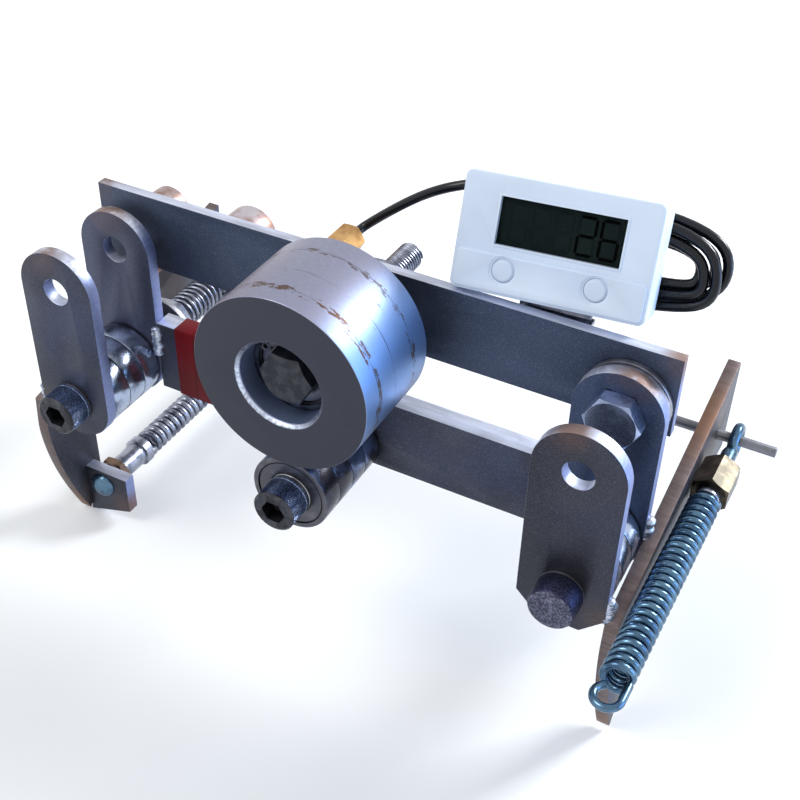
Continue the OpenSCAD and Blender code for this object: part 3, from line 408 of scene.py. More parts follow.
def plate_steel(name, broad_axis, heated=(), sawn=SAWN_PALE, painted_light_tint=None):
    """Dark rolled faces across broad_axis (0, 1 or 2), pale sawn edges, brown heat tints, a painted blue
    reflection on right-facing edges and a painted light tint.
    """
    steel = Finish(name)
    broad = steel.step(steel.size(steel.facing(broad_axis)), 0.75, 0.9)
    grain = steel.noise(2600, 2)
    clouds = steel.noise(28, 4)
    streaks = steel.noise(1, 4, where=steel.at(scale=SAW_STROKES))
    scale_colour = steel.mix(steel.step(clouds, 0.35, 0.7), SCALE_DARK, SCALE_LIGHT)
    scale_colour = steel.mix(steel.step(steel.noise(17, 2), 0.5, 0.75) * 0.7, scale_colour, SCALE_BLUE)
    # painted light: a tint per piece that stands in for the light it catches
    if painted_light_tint:
        scale_colour = steel.mix(0.6, scale_colour, painted_light_tint)
    sawn_colour = steel.mix(steel.step(streaks, 0.3, 0.7), shade(sawn, 0.66), sawn)
    # painted reflection: sawn edges that face right are tinted blue, as a bluish light from the right
    # would show
    sawn_colour = steel.mix(steel.step(steel.facing(0), 0.55, 0.95) * 0.8, sawn_colour, SAWN_PAINTED_BLUE_REFLECTION)
    colour = steel.mix(broad, sawn_colour, scale_colour)
    colour = steel.mix(steel.step(grain, 0.5, 0.8) * 0.28, colour, SAWN_GREY)
    for point, reach in heated:
        near = steel.near(steel.distance(place(*point)), reach * 0.25 * MM, reach * MM)
        patchy = near * steel.step(steel.noise(90, 4), 0.22, 0.5)
        colour = steel.mix(patchy * (0.85 - 0.62 * broad), colour, HEAT_BROWN)
    steel.set(Base_Color=colour, Metallic=0.82, Roughness=0.36 + 0.16 * grain + 0.1 * clouds)
    steel.bump(grain * 0.7 + streaks * 0.3, 0.00012, 0.35)
    return steel.material


# %% [markdown]
# ### Ground steel
# The angle about the axle and the place along it make a flat map of the wheel's rim. Stretched
# noise on it gives scratches that run round, and narrow bands carry chipped marks. The face is a
# matt, dark skin. Painted light: the rim is blue where it faces right and rose where it faces left,
# both painted reflections, and darker blue where it faces down, painted shade. The bore is painted
# a bright blue reflection, and the lip of the bore has a painted highlight on one side.

# %% Wheel steel
WHEEL_X, WHEEL_Z, WHEEL_FRONT = 113.3, 15.6, -56.0
RIM_SILVER = (0.3, 0.31, 0.41)
RIM_SHADE = (0.19, 0.195, 0.28)
RIM_BROWN = (0.12, 0.07, 0.05)
RIM_GREY = (0.11, 0.1, 0.115)
RIM_LINE = (0.05, 0.048, 0.06)
RIM_PAINTED_BLUE_REFLECTION = (0.21, 0.35, 0.64)
RIM_PAINTED_ROSE_REFLECTION = (0.24, 0.19, 0.23)
RIM_PAINTED_LOW_SHADE = (0.05, 0.08, 0.17)
BORE_PAINTED_REFLECTION = (0.26, 0.42, 0.78)
FACE_DARK, FACE_SPECKLE = (0.03, 0.033, 0.047), (0.056, 0.061, 0.083)
LIP_PAINTED_SHADE, LIP_PAINTED_HIGHLIGHT, LIP_HIGHLIGHT_AT = (0.05, 0.055, 0.075), (0.62, 0.7, 0.84), -2.2
RIM_LINES = (8.2, 18.6, 31.2)
# Each band of marks: how far along the wheel, how wide, and how rare its chips are
RIM_MARKS = ((8.0, 2.3, 0.5), (17.5, 0.8, 0.6), (25.0, 0.7, 0.6), (31.0, 1.8, 0.53))


def wheel_steel():
    steel = Finish("wheel_steel_ground")
    x, _, z = steel.axes(steel.at(place(WHEEL_X, 0, WHEEL_Z)))
    angle = steel.add("Math", {0: z, 1: x}, operation="ARCTAN2")[0]
    radius = (x ** 2 + z ** 2) ** 0.5
    along = steel.axes(steel.at(place(0, WHEEL_FRONT, 0)))[1]
    flat = steel.add("CombineXYZ", {0: angle * 0.032, 1: along * 9, 2: 0.0})[0]
    fine = steel.noise(420, 3, where=flat)
    flat_marks = steel.add("CombineXYZ", {0: angle * 0.024, 1: along * 1.8, 2: 0.01})[0]
    chips = steel.noise(260, 5, 0.7, where=flat_marks)
    clouds = steel.noise(60, 3, where=flat_marks)
    outside = steel.step(radius, 26 * MM, 28 * MM)
    right, depth, up = (steel.facing(axis) for axis in range(3))

    colour = steel.mix(steel.step(fine, 0.3, 0.7) * 0.45, RIM_SILVER, RIM_SHADE)
    # painted reflection: the rim is blue where it faces right
    colour = steel.mix(steel.step(right, 0.35, 0.95) * outside, colour, RIM_PAINTED_BLUE_REFLECTION)
    # painted reflection: the rim is rose where it faces left
    colour = steel.mix(steel.step(right * -1, 0.1, 0.9) * outside * 0.7, colour, RIM_PAINTED_ROSE_REFLECTION)
    # painted reflection: the bore is painted a bright blue
    colour = steel.mix(steel.near(radius, 14.8 * MM, 15.2 * MM), colour, BORE_PAINTED_REFLECTION)
    # painted shade: the rim is darker blue where it faces down
    colour = steel.mix(steel.step(up * -1, 0.0, 0.5) * outside * 0.85, colour, RIM_PAINTED_LOW_SHADE)
    for middle in RIM_LINES:
        line = steel.near(steel.size(along - middle * MM), 0.08 * MM, 0.3 * MM)
        colour = steel.mix(line * outside * steel.step(clouds, 0.35, 0.65) * 0.8, colour, RIM_LINE)
    marks = 0
    for middle, width, rarity in RIM_MARKS:
        band = steel.near(steel.size(along - middle * MM), width * 0.4 * MM, width * MM)
        marks = band * outside * steel.step(chips, rarity, rarity + 0.05) + marks
    tint = steel.mix(steel.step(clouds, 0.45, 0.6), RIM_BROWN, RIM_GREY)
    colour = steel.mix(steel.step(marks, 0.1, 0.6), colour, tint)

    in_face = steel.step(steel.size(depth), 0.8, 0.95) * steel.step(radius, 15.5 * MM, 16.4 * MM)
    speckle = steel.noise(2200, 2)
    colour = steel.mix(in_face, colour, steel.mix(speckle, FACE_DARK, FACE_SPECKLE))
    # painted highlight: the lip of the bore is bright towards one angle and darker, painted shade, on the
    # other side, broken up by chips
    lip = steel.step(radius, 15.2 * MM, 15.4 * MM) * steel.near(radius, 16.1 * MM, 16.5 * MM)
    chipped = steel.step(steel.noise(900, 3), 0.42, 0.58)
    towards_highlight = steel.add("Math", {0: angle - LIP_HIGHLIGHT_AT}, operation="COSINE")[0]
    lip_colour = steel.mix(steel.step(towards_highlight, -0.1, 0.6), LIP_PAINTED_SHADE, LIP_PAINTED_HIGHLIGHT)
    colour = steel.mix(lip * (0.35 + 0.65 * chipped), colour, lip_colour)
    ground = 1 - in_face
    steel.set(Base_Color=colour, Metallic=0.9 - 0.25 * in_face,
              Roughness=0.33 + 0.2 * fine * ground + 0.26 * in_face)
    steel.bump(fine * ground + speckle * 0.5 * in_face - marks * 0.5, 0.0001, 0.3)
    return steel.material


# %% [markdown]
# ### Bearings, screws and plating
# Polished rings, blackened screws and plated nuts share one function: two colours, the patches'
# size, the share of the first colour, and how rough it is.


# %% Small metal
def small_metal(name, main, other, patch, share, rough):
    metal = Finish(name)
    patches = metal.noise(patch, 4, 0.6)
    grain = metal.noise(2400, 2)
    colour = metal.mix(metal.step(patches, share - 0.12, share + 0.12), main, other)
    colour = metal.mix(metal.step(grain, 0.5, 0.8) * 0.3, colour, shade(main, 0.5))
    metal.set(Base_Color=colour, Metallic=0.92, Roughness=rough + 0.18 * patches * grain)
    metal.bump(grain, 0.00008, 0.3)
    return metal.material


SMALL_METALS = {
    "bearing": ("bearing_steel_worn", (0.46, 0.54, 0.7), (0.1, 0.115, 0.165), 110, 0.54, 0.14),
    "grimy": ("bearing_steel_grimy", (0.045, 0.043, 0.055), (0.2, 0.27, 0.48), 75, 0.56, 0.24),
    "face": ("bearing_face_dull", (0.1, 0.1, 0.118), (0.16, 0.16, 0.185), 120, 0.55, 0.36),
    "inner": ("bearing_bore_bright", (0.36, 0.37, 0.42), (0.2, 0.2, 0.24), 200, 0.55, 0.24),
    "black": ("blackened_steel", (0.03, 0.031, 0.038), (0.075, 0.078, 0.095), 260, 0.52, 0.34),
    "knurl": ("knurled_steel_bright", (0.12, 0.155, 0.25), (0.34, 0.42, 0.62), 1700, 0.52, 0.2),
    "head": ("hexagon_head_grey", (0.24, 0.29, 0.44), (0.44, 0.54, 0.78), 160, 0.52, 0.24),
    "axle_head": ("axle_head_dull", (0.034, 0.036, 0.045), (0.06, 0.063, 0.075), 260, 0.5, 0.5),
    "zinc": ("white_zinc_bright", (0.36, 0.38, 0.46), (0.14, 0.155, 0.21), 140, 0.54, 0.24),
    "blue": ("blue_zinc_bright", (0.11, 0.2, 0.29), (0.05, 0.1, 0.17), 120, 0.5, 0.2),
    "olive": ("olive_zinc_dull", (0.04, 0.035, 0.026), (0.12, 0.1, 0.07), 130, 0.52, 0.26),
    "brown": ("browned_steel", (0.13, 0.085, 0.065), (0.22, 0.15, 0.1), 130, 0.5, 0.36),
    "spacer": ("spacer_steel_browned", (0.3, 0.17, 0.13), (0.52, 0.48, 0.52), 80, 0.52, 0.36),
    "weld": ("weld_metal_pale", (0.5, 0.55, 0.66), (0.24, 0.28, 0.38), 300, 0.5, 0.3),
    "navy": ("galled_pin_dark", (0.02, 0.021, 0.045), (0.05, 0.052, 0.1), 1500, 0.52, 0.46),
    "rough": ("galled_pin_end", (0.05, 0.052, 0.08), (0.16, 0.165, 0.24), 1100, 0.52, 0.42),
    "rod": ("drawn_rod", (0.2, 0.205, 0.235), (0.11, 0.105, 0.11), 70, 0.5, 0.34),
    "washer": ("washer_plated", (0.4, 0.41, 0.47), (0.22, 0.21, 0.23), 110, 0.5, 0.3),
}
FINISHES = {key: small_metal(*values) for key, values in SMALL_METALS.items()}
FINISHES["wheel"] = wheel_steel()
print("metals ready:", len(FINISHES))

# %% [markdown]
# ### Brass, tape, rubber and plastics
# The sensor is drawn brass, and the red tape has one darker seam. The case is white moulded
# plastic, and behind its clear lens the liquid crystal panel is nearly black.

# %% Other finishes
TAPE_SEAM_X = 44.9


def brass():
    metal = Finish("sensor_brass_drawn")
    lines = metal.noise(1, 3, where=metal.at(scale=(2600, 90, 2600)))
    stain = metal.noise(150, 4)
    colour = metal.mix(metal.step(stain, 0.35, 0.7), (0.62, 0.37, 0.15), (0.34, 0.18, 0.06))
    colour = metal.mix(metal.step(lines, 0.55, 0.8) * 0.4, colour, (0.25, 0.14, 0.05))
    metal.set(Base_Color=colour, Metallic=0.95, Roughness=0.24 + 0.2 * lines)
    metal.bump(lines, 0.00006, 0.3)
    return metal.material


def red_tape():
    tape = Finish("red_tape_gloss")
    across = tape.axes(tape.at(place(TAPE_SEAM_X, 0, 0)))[0]
    seam = tape.near(tape.size(across), 0.15 * MM, 0.5 * MM)
    clouds = tape.noise(70, 3)
    colour = tape.mix(clouds, (0.075, 0.002, 0.005), (0.17, 0.0045, 0.01))
    colour = tape.mix(seam * 0.8, colour, (0.05, 0.004, 0.006))
    tape.set(Base_Color=colour, Roughness=0.3 + 0.2 * clouds, Specular_IOR_Level=0.12)
    tape.bump(clouds * 0.4 - seam, 0.0001, 0.4)
    return tape.material


def soft_finish(name, colours, patches, grain, rough, bump=0, **flat):
    """Rubber, plastic or a lens: two colours in patches, and a grain in roughness and relief."""
    finish = Finish(name)
    size, detail, *edges = patches
    share = finish.noise(size, detail)
    texture = finish.noise(*grain)
    finish.set(Base_Color=finish.mix(finish.step(share, *edges) if edges else share, *colours),
               Roughness=rough[0] + rough[1] * texture, **flat)
    if bump:
        finish.bump(texture, bump, 0.25)
    return finish.material


def white_plastic(name, colour):
    return soft_finish(name, (colour, shade(colour, 0.93)), (35, 3, 0.35, 0.7), (1900, 2), (0.42, 0.14),
                       0.00004)


def board_green():
    board = Finish("board_green_mask")
    lines = board.add("TexBrick", {"Vector": board.at(scale=(300, 300, 300)), "Scale": 1.0})[1]
    board.set(Base_Color=board.mix(lines, (0.02, 0.12, 0.05), (0.05, 0.22, 0.1)),
              Roughness=0.35 + 0.2 * board.noise(400))
    board.bump(lines, 0.00005, 0.3)
    return board.material


def dark_panel():
    panel = Finish("lcd_panel_dark")
    mottle = panel.noise(900, 3)
    clouds = panel.step(panel.noise(45, 3), 0.35, 0.7)
    colour = panel.mix(clouds, (0.0085, 0.0145, 0.0155), (0.0115, 0.0195, 0.0185))
    colour = panel.mix(panel.step(mottle, 0.45, 0.7) * 0.3, colour, (0.005, 0.008, 0.009))
    panel.set(Base_Color=colour, Roughness=0.5 + 0.1 * mottle, Specular_IOR_Level=0.03)
    return panel.material


def ink(name, colour):
    print_ink = Finish(name)
    grain = print_ink.noise(2500, 2)
    print_ink.set(Base_Color=print_ink.mix(grain, colour, shade(colour, 0.8)), Roughness=0.55,
                  Specular_IOR_Level=0.02)
    return print_ink.material


FINISHES |= {
    "brass": brass(),
    "red": red_tape(),
    "rubber": soft_finish("cable_jacket_black", ((0.002, 0.003, 0.006), (0.006, 0.009, 0.016)),
                          (45, 4, 0.4, 0.75), (1500, 2), (0.17, 0.16), 0.00006, Specular_IOR_Level=0.35),
    "case": white_plastic("white_case_moulded", (0.72, 0.82, 0.97)),
    "button": white_plastic("white_button_moulded", (0.69, 0.79, 0.94)),
    "pad": white_plastic("foam_pad_white", (0.7, 0.72, 0.75)),
    "board": board_green(),
    "panel": dark_panel(),
    "lens": soft_finish("clear_lens", ((0.006, 0.008, 0.008), (0.012, 0.014, 0.014)), (120, 3), (120, 3),
                        (0.08, 0.06), Alpha=0.03, Specular_IOR_Level=0.0),
    "digit": ink("digit_black", (0.0004, 0.0005, 0.0006)),
    "ghost": ink("digit_ghost", (0.0088, 0.0148, 0.0152)),
    "tie": ink("tie_nylon_black", (0.012, 0.012, 0.014)),
}
cable.data.materials.append(FINISHES["rubber"])
print("finishes ready:", len(FINISHES))

# %% [markdown]
# ## Ways of working
# The same few moves make all pieces: copy a CAD solid and ease its edges, cut one solid with
# another, and join what belongs together. Each ends with the piece at the origin.

# %% Selecting, shaping and handing over
MERGE = 0.00001
SHARP_FROM, FLAT_WITHIN = 38, 0.6
done = []


def settle(piece):
    """Its place, turn and scale go into its mesh."""
    alone(piece)
    bpy.ops.object.transform_apply(location=True, rotation=True, scale=True)
    return piece


def start_from(operator, scale=(1, 1, 1), **values):
    """A primitive to be shaped further, scaled and settled."""
    bpy.ops.object.select_all(action="DESELECT")
    operator(**values)
    bpy.context.object.scale = scale
    return settle(bpy.context.object)


def apply_modifier(piece, kind, **values):
    modifier = piece.modifiers.new(kind.lower(), kind)
    for key, value in values.items():
        setattr(modifier, key, value)
    alone(piece)
    bpy.ops.object.modifier_apply(modifier=modifier.name)
    return piece


def pick(piece, wanted, kind="faces"):
    """In edit mode, selects the faces or edges for which wanted is true."""
    bpy.ops.mesh.select_all(action="DESELECT")
    bpy.ops.mesh.select_mode(type={"faces": "FACE", "edges": "EDGE"}[kind])
    work = bmesh.from_edit_mesh(piece.data)
    for part in getattr(work, kind):
        part.select = bool(wanted(part))
    work.select_flush_mode()
    bmesh.update_edit_mesh(piece.data)


def edit(piece):
    """Edit mode, with everything selected."""
    alone(piece)
    bpy.ops.object.mode_set(mode="EDIT")
    bpy.ops.mesh.select_all(action="SELECT")


def smooth(piece, angle=35):
    alone(piece)
    bpy.ops.object.shade_smooth_by_angle(angle=radians(angle))
    return piece


def ease(piece, width, segments=2):
    """Rounds every sharp edge a little, so that it catches light."""
    apply_modifier(piece, "BEVEL", width=width * MM, segments=segments, limit_method="ANGLE",
                   angle_limit=radians(SHARP_FROM), harden_normals=False, use_clamp_overlap=True)
    return smooth(piece)


def copy_of(node, name):
    """A merged copy of a CAD node, with its flat faces made whole again."""
    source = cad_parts[node]
    made = link_new(name, source.data.copy())
    made.matrix_world = source.matrix_world.copy()
    edit(settle(made))
    bpy.ops.mesh.remove_doubles(threshold=MERGE)
    bpy.ops.mesh.customdata_custom_splitnormals_clear()
    bpy.ops.mesh.mark_sharp(clear=True)
    bpy.ops.mesh.dissolve_limited(angle_limit=radians(FLAT_WITHIN))
    bpy.ops.object.mode_set(mode="OBJECT")
    return made


def copy_to(piece, name, x=0, y=0, z=0):
    """A copy with its own mesh, moved by so many millimetres."""
    made = link_new(name, piece.data.copy())
    made.location = Vector((x, y, z)) * MM
    return settle(made)


def to_display(piece):
    """From the display's frame to the part."""
    piece.matrix_world = display_frame @ piece.matrix_world
    return settle(piece)


def join(name, *pieces):
    """Several meshes as one piece."""
    alone(pieces[0])
    for piece in pieces[1:]:
        piece.select_set(True)
    if len(pieces) > 1:
        bpy.ops.object.join()
    pieces[0].name = name
    return pieces[0]


def cut(piece, tool, way="DIFFERENCE"):
    apply_modifier(piece, "BOOLEAN", object=tool, operation=way, solver="EXACT")
    bpy.data.objects.remove(tool)
    return piece


def wear(piece, *finishes):
    piece.data.materials.clear()
    for finish in finishes:
        piece.data.materials.append(FINISHES[finish])
    return piece


def hand_over(piece, finish, body, slot, *nodes):
    """The piece wears its finish, rides on its body and stands for its CAD nodes."""
    if finish:
        wear(piece, finish)
    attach(piece, body)
    if nodes:
        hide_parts(*nodes)
    done.append(piece.name)
    return piece


def eased_nodes(rows):
    """CAD nodes whose shape is right: node, body, slot, finish and how far its edges are eased."""
    for node, body, slot, finish, *easing in rows:
        hand_over(ease(copy_of(node, node + "_eased"), *easing), finish, body, slot, node)


print("helpers ready")

# %% [markdown]
# ### Round and hexagonal metal
# A turned piece is an outline, drawn by extruding one point and spun round its axis. A hexagon
# starts as a six-sided cylinder, and a spun barrel cuts its corners back, as a lathe does.


# %% Turned pieces, hexagons and threads
def one_point(name, location):
    """A mesh of a single point, in edit mode, to be drawn out into a line."""
    piece = start_from(bpy.ops.mesh.primitive_plane_add, size=MM, location=location)
    piece.name = name
    edit(piece)
    bpy.ops.mesh.select_mode(type="VERT")
    bpy.ops.mesh.merge(type="CENTER")
    return piece


def draw_out(x, y):
    """Extrudes what is selected by so many millimetres."""
    bpy.ops.mesh.extrude_region_move(TRANSFORM_OT_translate={"value": (x * MM, y * MM, 0)})


def close_mesh(threshold):
    """Merges doubled points, turns all faces outwards and leaves edit mode."""
    bpy.ops.mesh.select_all(action="SELECT")
    bpy.ops.mesh.remove_doubles(threshold=threshold)
    bpy.ops.mesh.normals_make_consistent(inside=False)
    bpy.ops.object.mode_set(mode="OBJECT")


def turned(name, x, z, outline, steps=72, display=False):
    """Spins an outline of (depth, radius) pairs, in millimetres, round the axis through x, z."""
    axis = Vector((x, 0, z)) * MM if display else place(x, 0, z)
    piece = one_point(name, axis + Vector((outline[0][1], outline[0][0], 0)) * MM)
    for (depth, radius), (next_depth, next_radius) in zip(outline, outline[1:]):
        draw_out(next_radius - radius, next_depth - depth)
    bpy.ops.mesh.select_all(action="SELECT")
    bpy.ops.mesh.spin(steps=steps, angle=2 * pi, center=axis, axis=(0, 1, 0))
    close_mesh(MERGE * 0.5)
    if display:
        to_display(piece)
    return smooth(piece)


def closed(*outline):
    return [*outline, outline[0]]


def disc(name, x, z, y0, y1, radius, steps=64):
    return turned(name, x, z, [(y0, 0), (y0, radius), (y1, radius), (y1, 0)], steps)


def hexagon(name, x, z, y0, y1, across, bore=None, turn=0):
    """A nut or a bolt's head: six flats, corners cut back by a cone, and a bore with a chamfer."""
    corner = across / 2 / cos(radians(30))
    bevel = 0.6 * (corner - across / 2)
    face_r, past, mouth, chamfer = across / 2 - 0.15, 0.01, bore and bore + 1.6, 0.6
    barrel = [(y0 - past, 0), (y0 - past, face_r), (y0 + bevel, corner + 0.05),
              (y1 - bevel, corner + 0.05), (y1 + past, face_r), (y1 + past, 0)]
    piece = start_from(bpy.ops.mesh.primitive_cylinder_add, vertices=6, radius=corner * MM,
                       depth=(y1 - y0) * MM, location=place(x, (y0 + y1) / 2, z),
                       rotation=(pi / 2, radians(30 + turn), 0))
    cut(piece, turned("barrel", x, z, barrel, 96), "INTERSECT")
    if bore:
        drill = [(y0 - 1, 0), (y0 - 1, mouth), (y0 + chamfer, bore), (y1 - chamfer, bore),
                 (y1 + 1, mouth), (y1 + 1, 0)]
        cut(piece, turned("drill", x, z, drill, 48))
    piece.name = name
    return smooth(piece, 25)


def thread(name, x, z, y0, y1, radius, pitch, tip=0.8):
    """A screw thread: one tooth wound up by the Screw modifier, round a core with a turned tip."""
    depth = 0.55 * pitch
    root = radius - depth
    piece = one_point(name, (root * MM, 0, 0))
    for out_by, along in ((depth, 0.42 * pitch), (0, 0.16 * pitch), (-depth, 0.42 * pitch)):
        draw_out(out_by, along)
    bpy.ops.object.mode_set(mode="OBJECT")
    apply_modifier(piece, "SCREW", axis="Y", angle=2 * pi, screw_offset=pitch * MM,
                   iterations=int((y1 - tip - y0) / pitch), steps=24, render_steps=24,
                   use_merge_vertices=True, merge_threshold=MERGE)
    piece.location = place(x, y0, z)
    edit(settle(piece))
    close_mesh(MERGE)
    core = [(y0, 0), (y0, root), (y1 - tip, root + 0.02), (y1, root - tip * 0.7), (y1, 0)]
    return smooth(join(name, piece, turned(name + "_core", x, z, core, 48)), 40)


print("ways of turning ready")

# %% [markdown]
# ## The lower frame's plates
# CAD has the exact outlines, holes and claws of the bars, lugs and arms, so a copy of each only
# gets broken edges, and its own brown heat tints: a place in the drawing and how far they reach.

# %% Bars, lugs and arms
LEFT_X, MIDDLE_X, RIGHT_X = 12.5, 110.0, 209.5
AXIS_Z, HOLE_Z = -38.5, 10.0
ACROSS, DEEP = 0, 1
EDGE = 0.35
# The painted light tints: bluer on the upper bar and the rear lugs, darker painted shade on the right
# front lug
PLATES = (
    ("lower_bar", DEEP, (((28, -6, -30), 9), ((194, -6, -30), 9)), {}),
    ("upper_bar", DEEP, (((0, 2, 30), 12), ((225, 2, 28), 10)), {"painted_light_tint": (0.05, 0.08, 0.15)}),
    ("left_front_lug", DEEP, (((6, -41, 25), 14), ((-3, -41, -45), 12)), {}),
    ("left_rear_lug", DEEP, (((10, -8, 25), 13), ((28, -8, -30), 10)), {"painted_light_tint": (0.085, 0.1, 0.17)}),
    ("right_front_lug", DEEP, (((205, -41, 26), 12), ((225, -41, -48), 12)),
     {"painted_light_tint": (0.03, 0.031, 0.044)}),
    ("right_rear_lug", DEEP, (((214, -8, 25), 12), ((194, -8, -28), 9)),
     {"painted_light_tint": (0.046, 0.08, 0.17)}),
    ("left_side_arm", ACROSS, (((-5, -30, -108), 16), ((-3, 30, -40), 26)), {"sawn": SAWN_BROWN}),
    ("right_side_arm", ACROSS, (((227, -26, -108), 18), ((225, 50, -35), 30)), {"sawn": SAWN_BROWN}),
    ("left_spring_tab", DEEP, (((15, -26, -104), 10),), {}),
)
for node, broad_axis, heated, looks in PLATES:
    FINISHES[node] = plate_steel(node + "_steel", broad_axis, heated, **looks)
    plate = ease(copy_of(node, node + "_plate"), EDGE)
    hand_over(plate, node, "upper_arm" if node == "upper_bar" else "root", "frame_steel", node)
print("plates:", len(done))

# %% [markdown]
# ## Weld beads
# A weld bead is a row of frozen drops: overlapping balls of slightly different sizes, which a
# voxel remesh melts into one lumpy skin.

# %% Weld beads
DROP_APART, DROP_FLAT, VOXEL = 1.7, 0.62, 0.33
# Each bead: its x and y, its lower and upper end, and its radius
BEADS = ((-3.0, -7.5, -47, -30.5, 2.6), (-3.0, -40.5, -47, -38.5, 2.6),
         (225.0, -7.5, -47, -30.5, 2.6), (225.0, -40.5, -47, -38.5, 2.6),
         (28.0, -10, -31, -20.5, 2.5), (194.0, -10, -31, -20.5, 2.5))


def weld_bead(x, y, z0, z1, radius):
    drops = []
    count = int((z1 - z0) / DROP_APART) + 1
    for k in range(count):
        sway = sin(2.3 * k + x)
        middle = place(x + 0.25 * sway, y + 0.2 * cos(3 * k), z0 + (z1 - z0) * k / (count - 1))
        drops.append(start_from(bpy.ops.mesh.primitive_uv_sphere_add, scale=(1, 1, DROP_FLAT),
                                segments=20, ring_count=12, location=middle,
                                radius=radius * (0.92 + 0.07 * sway) * MM))
    piece = join("bead", *drops)
    apply_modifier(piece, "REMESH", mode="VOXEL", voxel_size=VOXEL * MM, use_smooth_shade=True)
    return apply_modifier(piece, "SMOOTH", factor=0.5, iterations=2)


beads = join("weld_bead_rows", *[weld_bead(*bead) for bead in BEADS])
hand_over(beads, "weld", "root", "weld_metal", "weld_beads")
print("weld faces:", len(beads.data.polygons))

# %% [markdown]
# ## Rollers
# Each roller is a stack of ball bearings. A bearing shows a polished outer ring, a dark seam, a
# pressed shield and an inner ring. One outline is spun for each ring, and copies stack up.

# %% Bearings
OUTER_RING = closed((0.6, 15), (0.18, 14.88), (0, 14.4), (0, 13.0), (0.6, 12.9), (0.6, 12.55),
                    (0.28, 12.4), (0.22, 8.5), (0.5, 7.98), (8.48, 7.98), (8.76, 8.5), (8.7, 12.4),
                    (8.38, 12.55), (8.38, 12.9), (8.98, 13.0), (8.98, 14.4), (8.8, 14.88), (8.38, 15))
INNER_RING = closed((0.35, 7.9), (0.05, 7.6), (0, 5.6), (0.4, 5.03), (8.58, 5.03), (8.98, 5.6),
                    (8.93, 7.6), (8.63, 7.9))
SEAM_IN, SEAM_OUT = 12.42, 12.97
SIDE_STARTS = (-37.5, -28.5, -19.5)
MIDDLE_STARTS = (-47.0, -38.0, -29.0, -20.0)
WHEEL_STARTS = (-45.4, -25.4)


def from_axis(face, x, z):
    """How far a face's middle is from the axis through x, z, in millimetres."""
    away = face.center - place(x, 0, z)
    return hypot(away.x, away.z) / MM


def ring_stack(name, x, z, starts, skin=None):
    """Outer rings with their skin, dull faces and dark seams, or inner rings where skin is left out."""
    outline = OUTER_RING if skin else INNER_RING
    first = turned(name, x, z, [(starts[0] + depth, radius) for depth, radius in outline], 96)
    if skin:
        wear(first, skin, "face", "black")
        for face in first.data.polygons:
            if SEAM_IN < from_axis(face, x, z) < SEAM_OUT:
                face.material_index = 2
            elif abs(face.normal.y) > 0.6:
                face.material_index = 1
    else:
        wear(first, "inner")
    others = [copy_to(first, name + "_copy", y=start - starts[0]) for start in starts[1:]]
    return join(name, first, *others)


for name, x, z, starts, skin, body, node in (
        ("left_roller_rings", LEFT_X, AXIS_Z, SIDE_STARTS, "bearing", "left_roller_body", "left_roller"),
        ("middle_roller_rings", MIDDLE_X, AXIS_Z, MIDDLE_STARTS, "grimy", "middle_roller_body",
         "middle_roller"),
        ("right_roller_rings", RIGHT_X, AXIS_Z, SIDE_STARTS, "bearing", "right_roller_body",
         "right_roller"),
        ("wheel_bearing_rings", WHEEL_X, WHEEL_Z, WHEEL_STARTS, "bearing", "measuring_wheel",
         "wheel_outer_rings")):
    hand_over(ring_stack(name, x, z, starts, skin), None, body, "bearing_steel", node)
inner = [ring_stack("inner_rings", x, AXIS_Z, starts)
         for x, starts in ((LEFT_X, SIDE_STARTS), (MIDDLE_X, MIDDLE_STARTS), (RIGHT_X, SIDE_STARTS))]
hand_over(join("roller_bore_rings", *inner), None, "root", "bearing_steel", "roller_inner_rings")
hand_over(ring_stack("axle_bore_rings", WHEEL_X, WHEEL_Z, WHEEL_STARTS), None, "upper_arm",
          "bearing_steel", "axle_inner_rings")
print("bearing stacks done:", len(done))

# %% [markdown]
# ## Screws of the rollers
# Two rollers turn on socket head screws. A head is a cylinder with a turned front rim and a
# hexagonal socket, and its knurl is made by insetting each side face and pushing it in. The right
# roller turns on a plain pin with a rough end.

# %% Screws and the pin
M10_R, M10_PITCH = 4.99, 1.5
HEAD_D, HEAD_H, SOCKET_AF, SOCKET_H = 16.0, 10.0, 8.0, 5.5
PLAIN_END, CHAMFER, CHAMFER_TO = 0.8, 0.6, 0.91
KNURL_GAP, KNURL_DEPTH = 0.16, 0.22
BLACK_FRONT, BLACK_WITHIN = 1.0, 5.5


def socket_head(name, x, z, y_under):
    y0 = y_under - HEAD_H
    middle = place(x, y0 + HEAD_H / 2, z)
    piece = start_from(bpy.ops.mesh.primitive_cylinder_add, vertices=72, radius=HEAD_D / 2 * MM,
                       depth=(HEAD_H - 2 * PLAIN_END) * MM, location=middle,
                       rotation=(pi / 2, 0, 0))
    edit(wear(piece, "knurl", "black"))
    pick(piece, lambda face: face.normal.y < -0.9)
    draw_out(0, CHAMFER - PLAIN_END)
    draw_out(0, -CHAMFER)
    bpy.ops.transform.resize(value=(CHAMFER_TO, 1, CHAMFER_TO), center_override=place(x, y0, z))
    pick(piece, lambda face: face.normal.y > 0.9)
    draw_out(0, PLAIN_END)
    pick(piece, lambda face: (abs(face.normal.y) < 0.2
                              and abs(face.calc_center_median().y - middle.y) < 2 * MM))
    bpy.ops.mesh.inset(thickness=KNURL_GAP * MM, use_individual=True)
    bpy.ops.transform.shrink_fatten(value=-KNURL_DEPTH * MM)
    bpy.ops.object.mode_set(mode="OBJECT")
    cut(piece, hexagon("socket", x, z, y0 - 1, y0 + SOCKET_H, SOCKET_AF))
    piece.name = name
    front = place(x, y0 + BLACK_FRONT, z).y
    for face in piece.data.polygons:
        face.material_index = int(face.center.y < front or from_axis(face, x, z) < BLACK_WITHIN)
    return smooth(piece, 30)


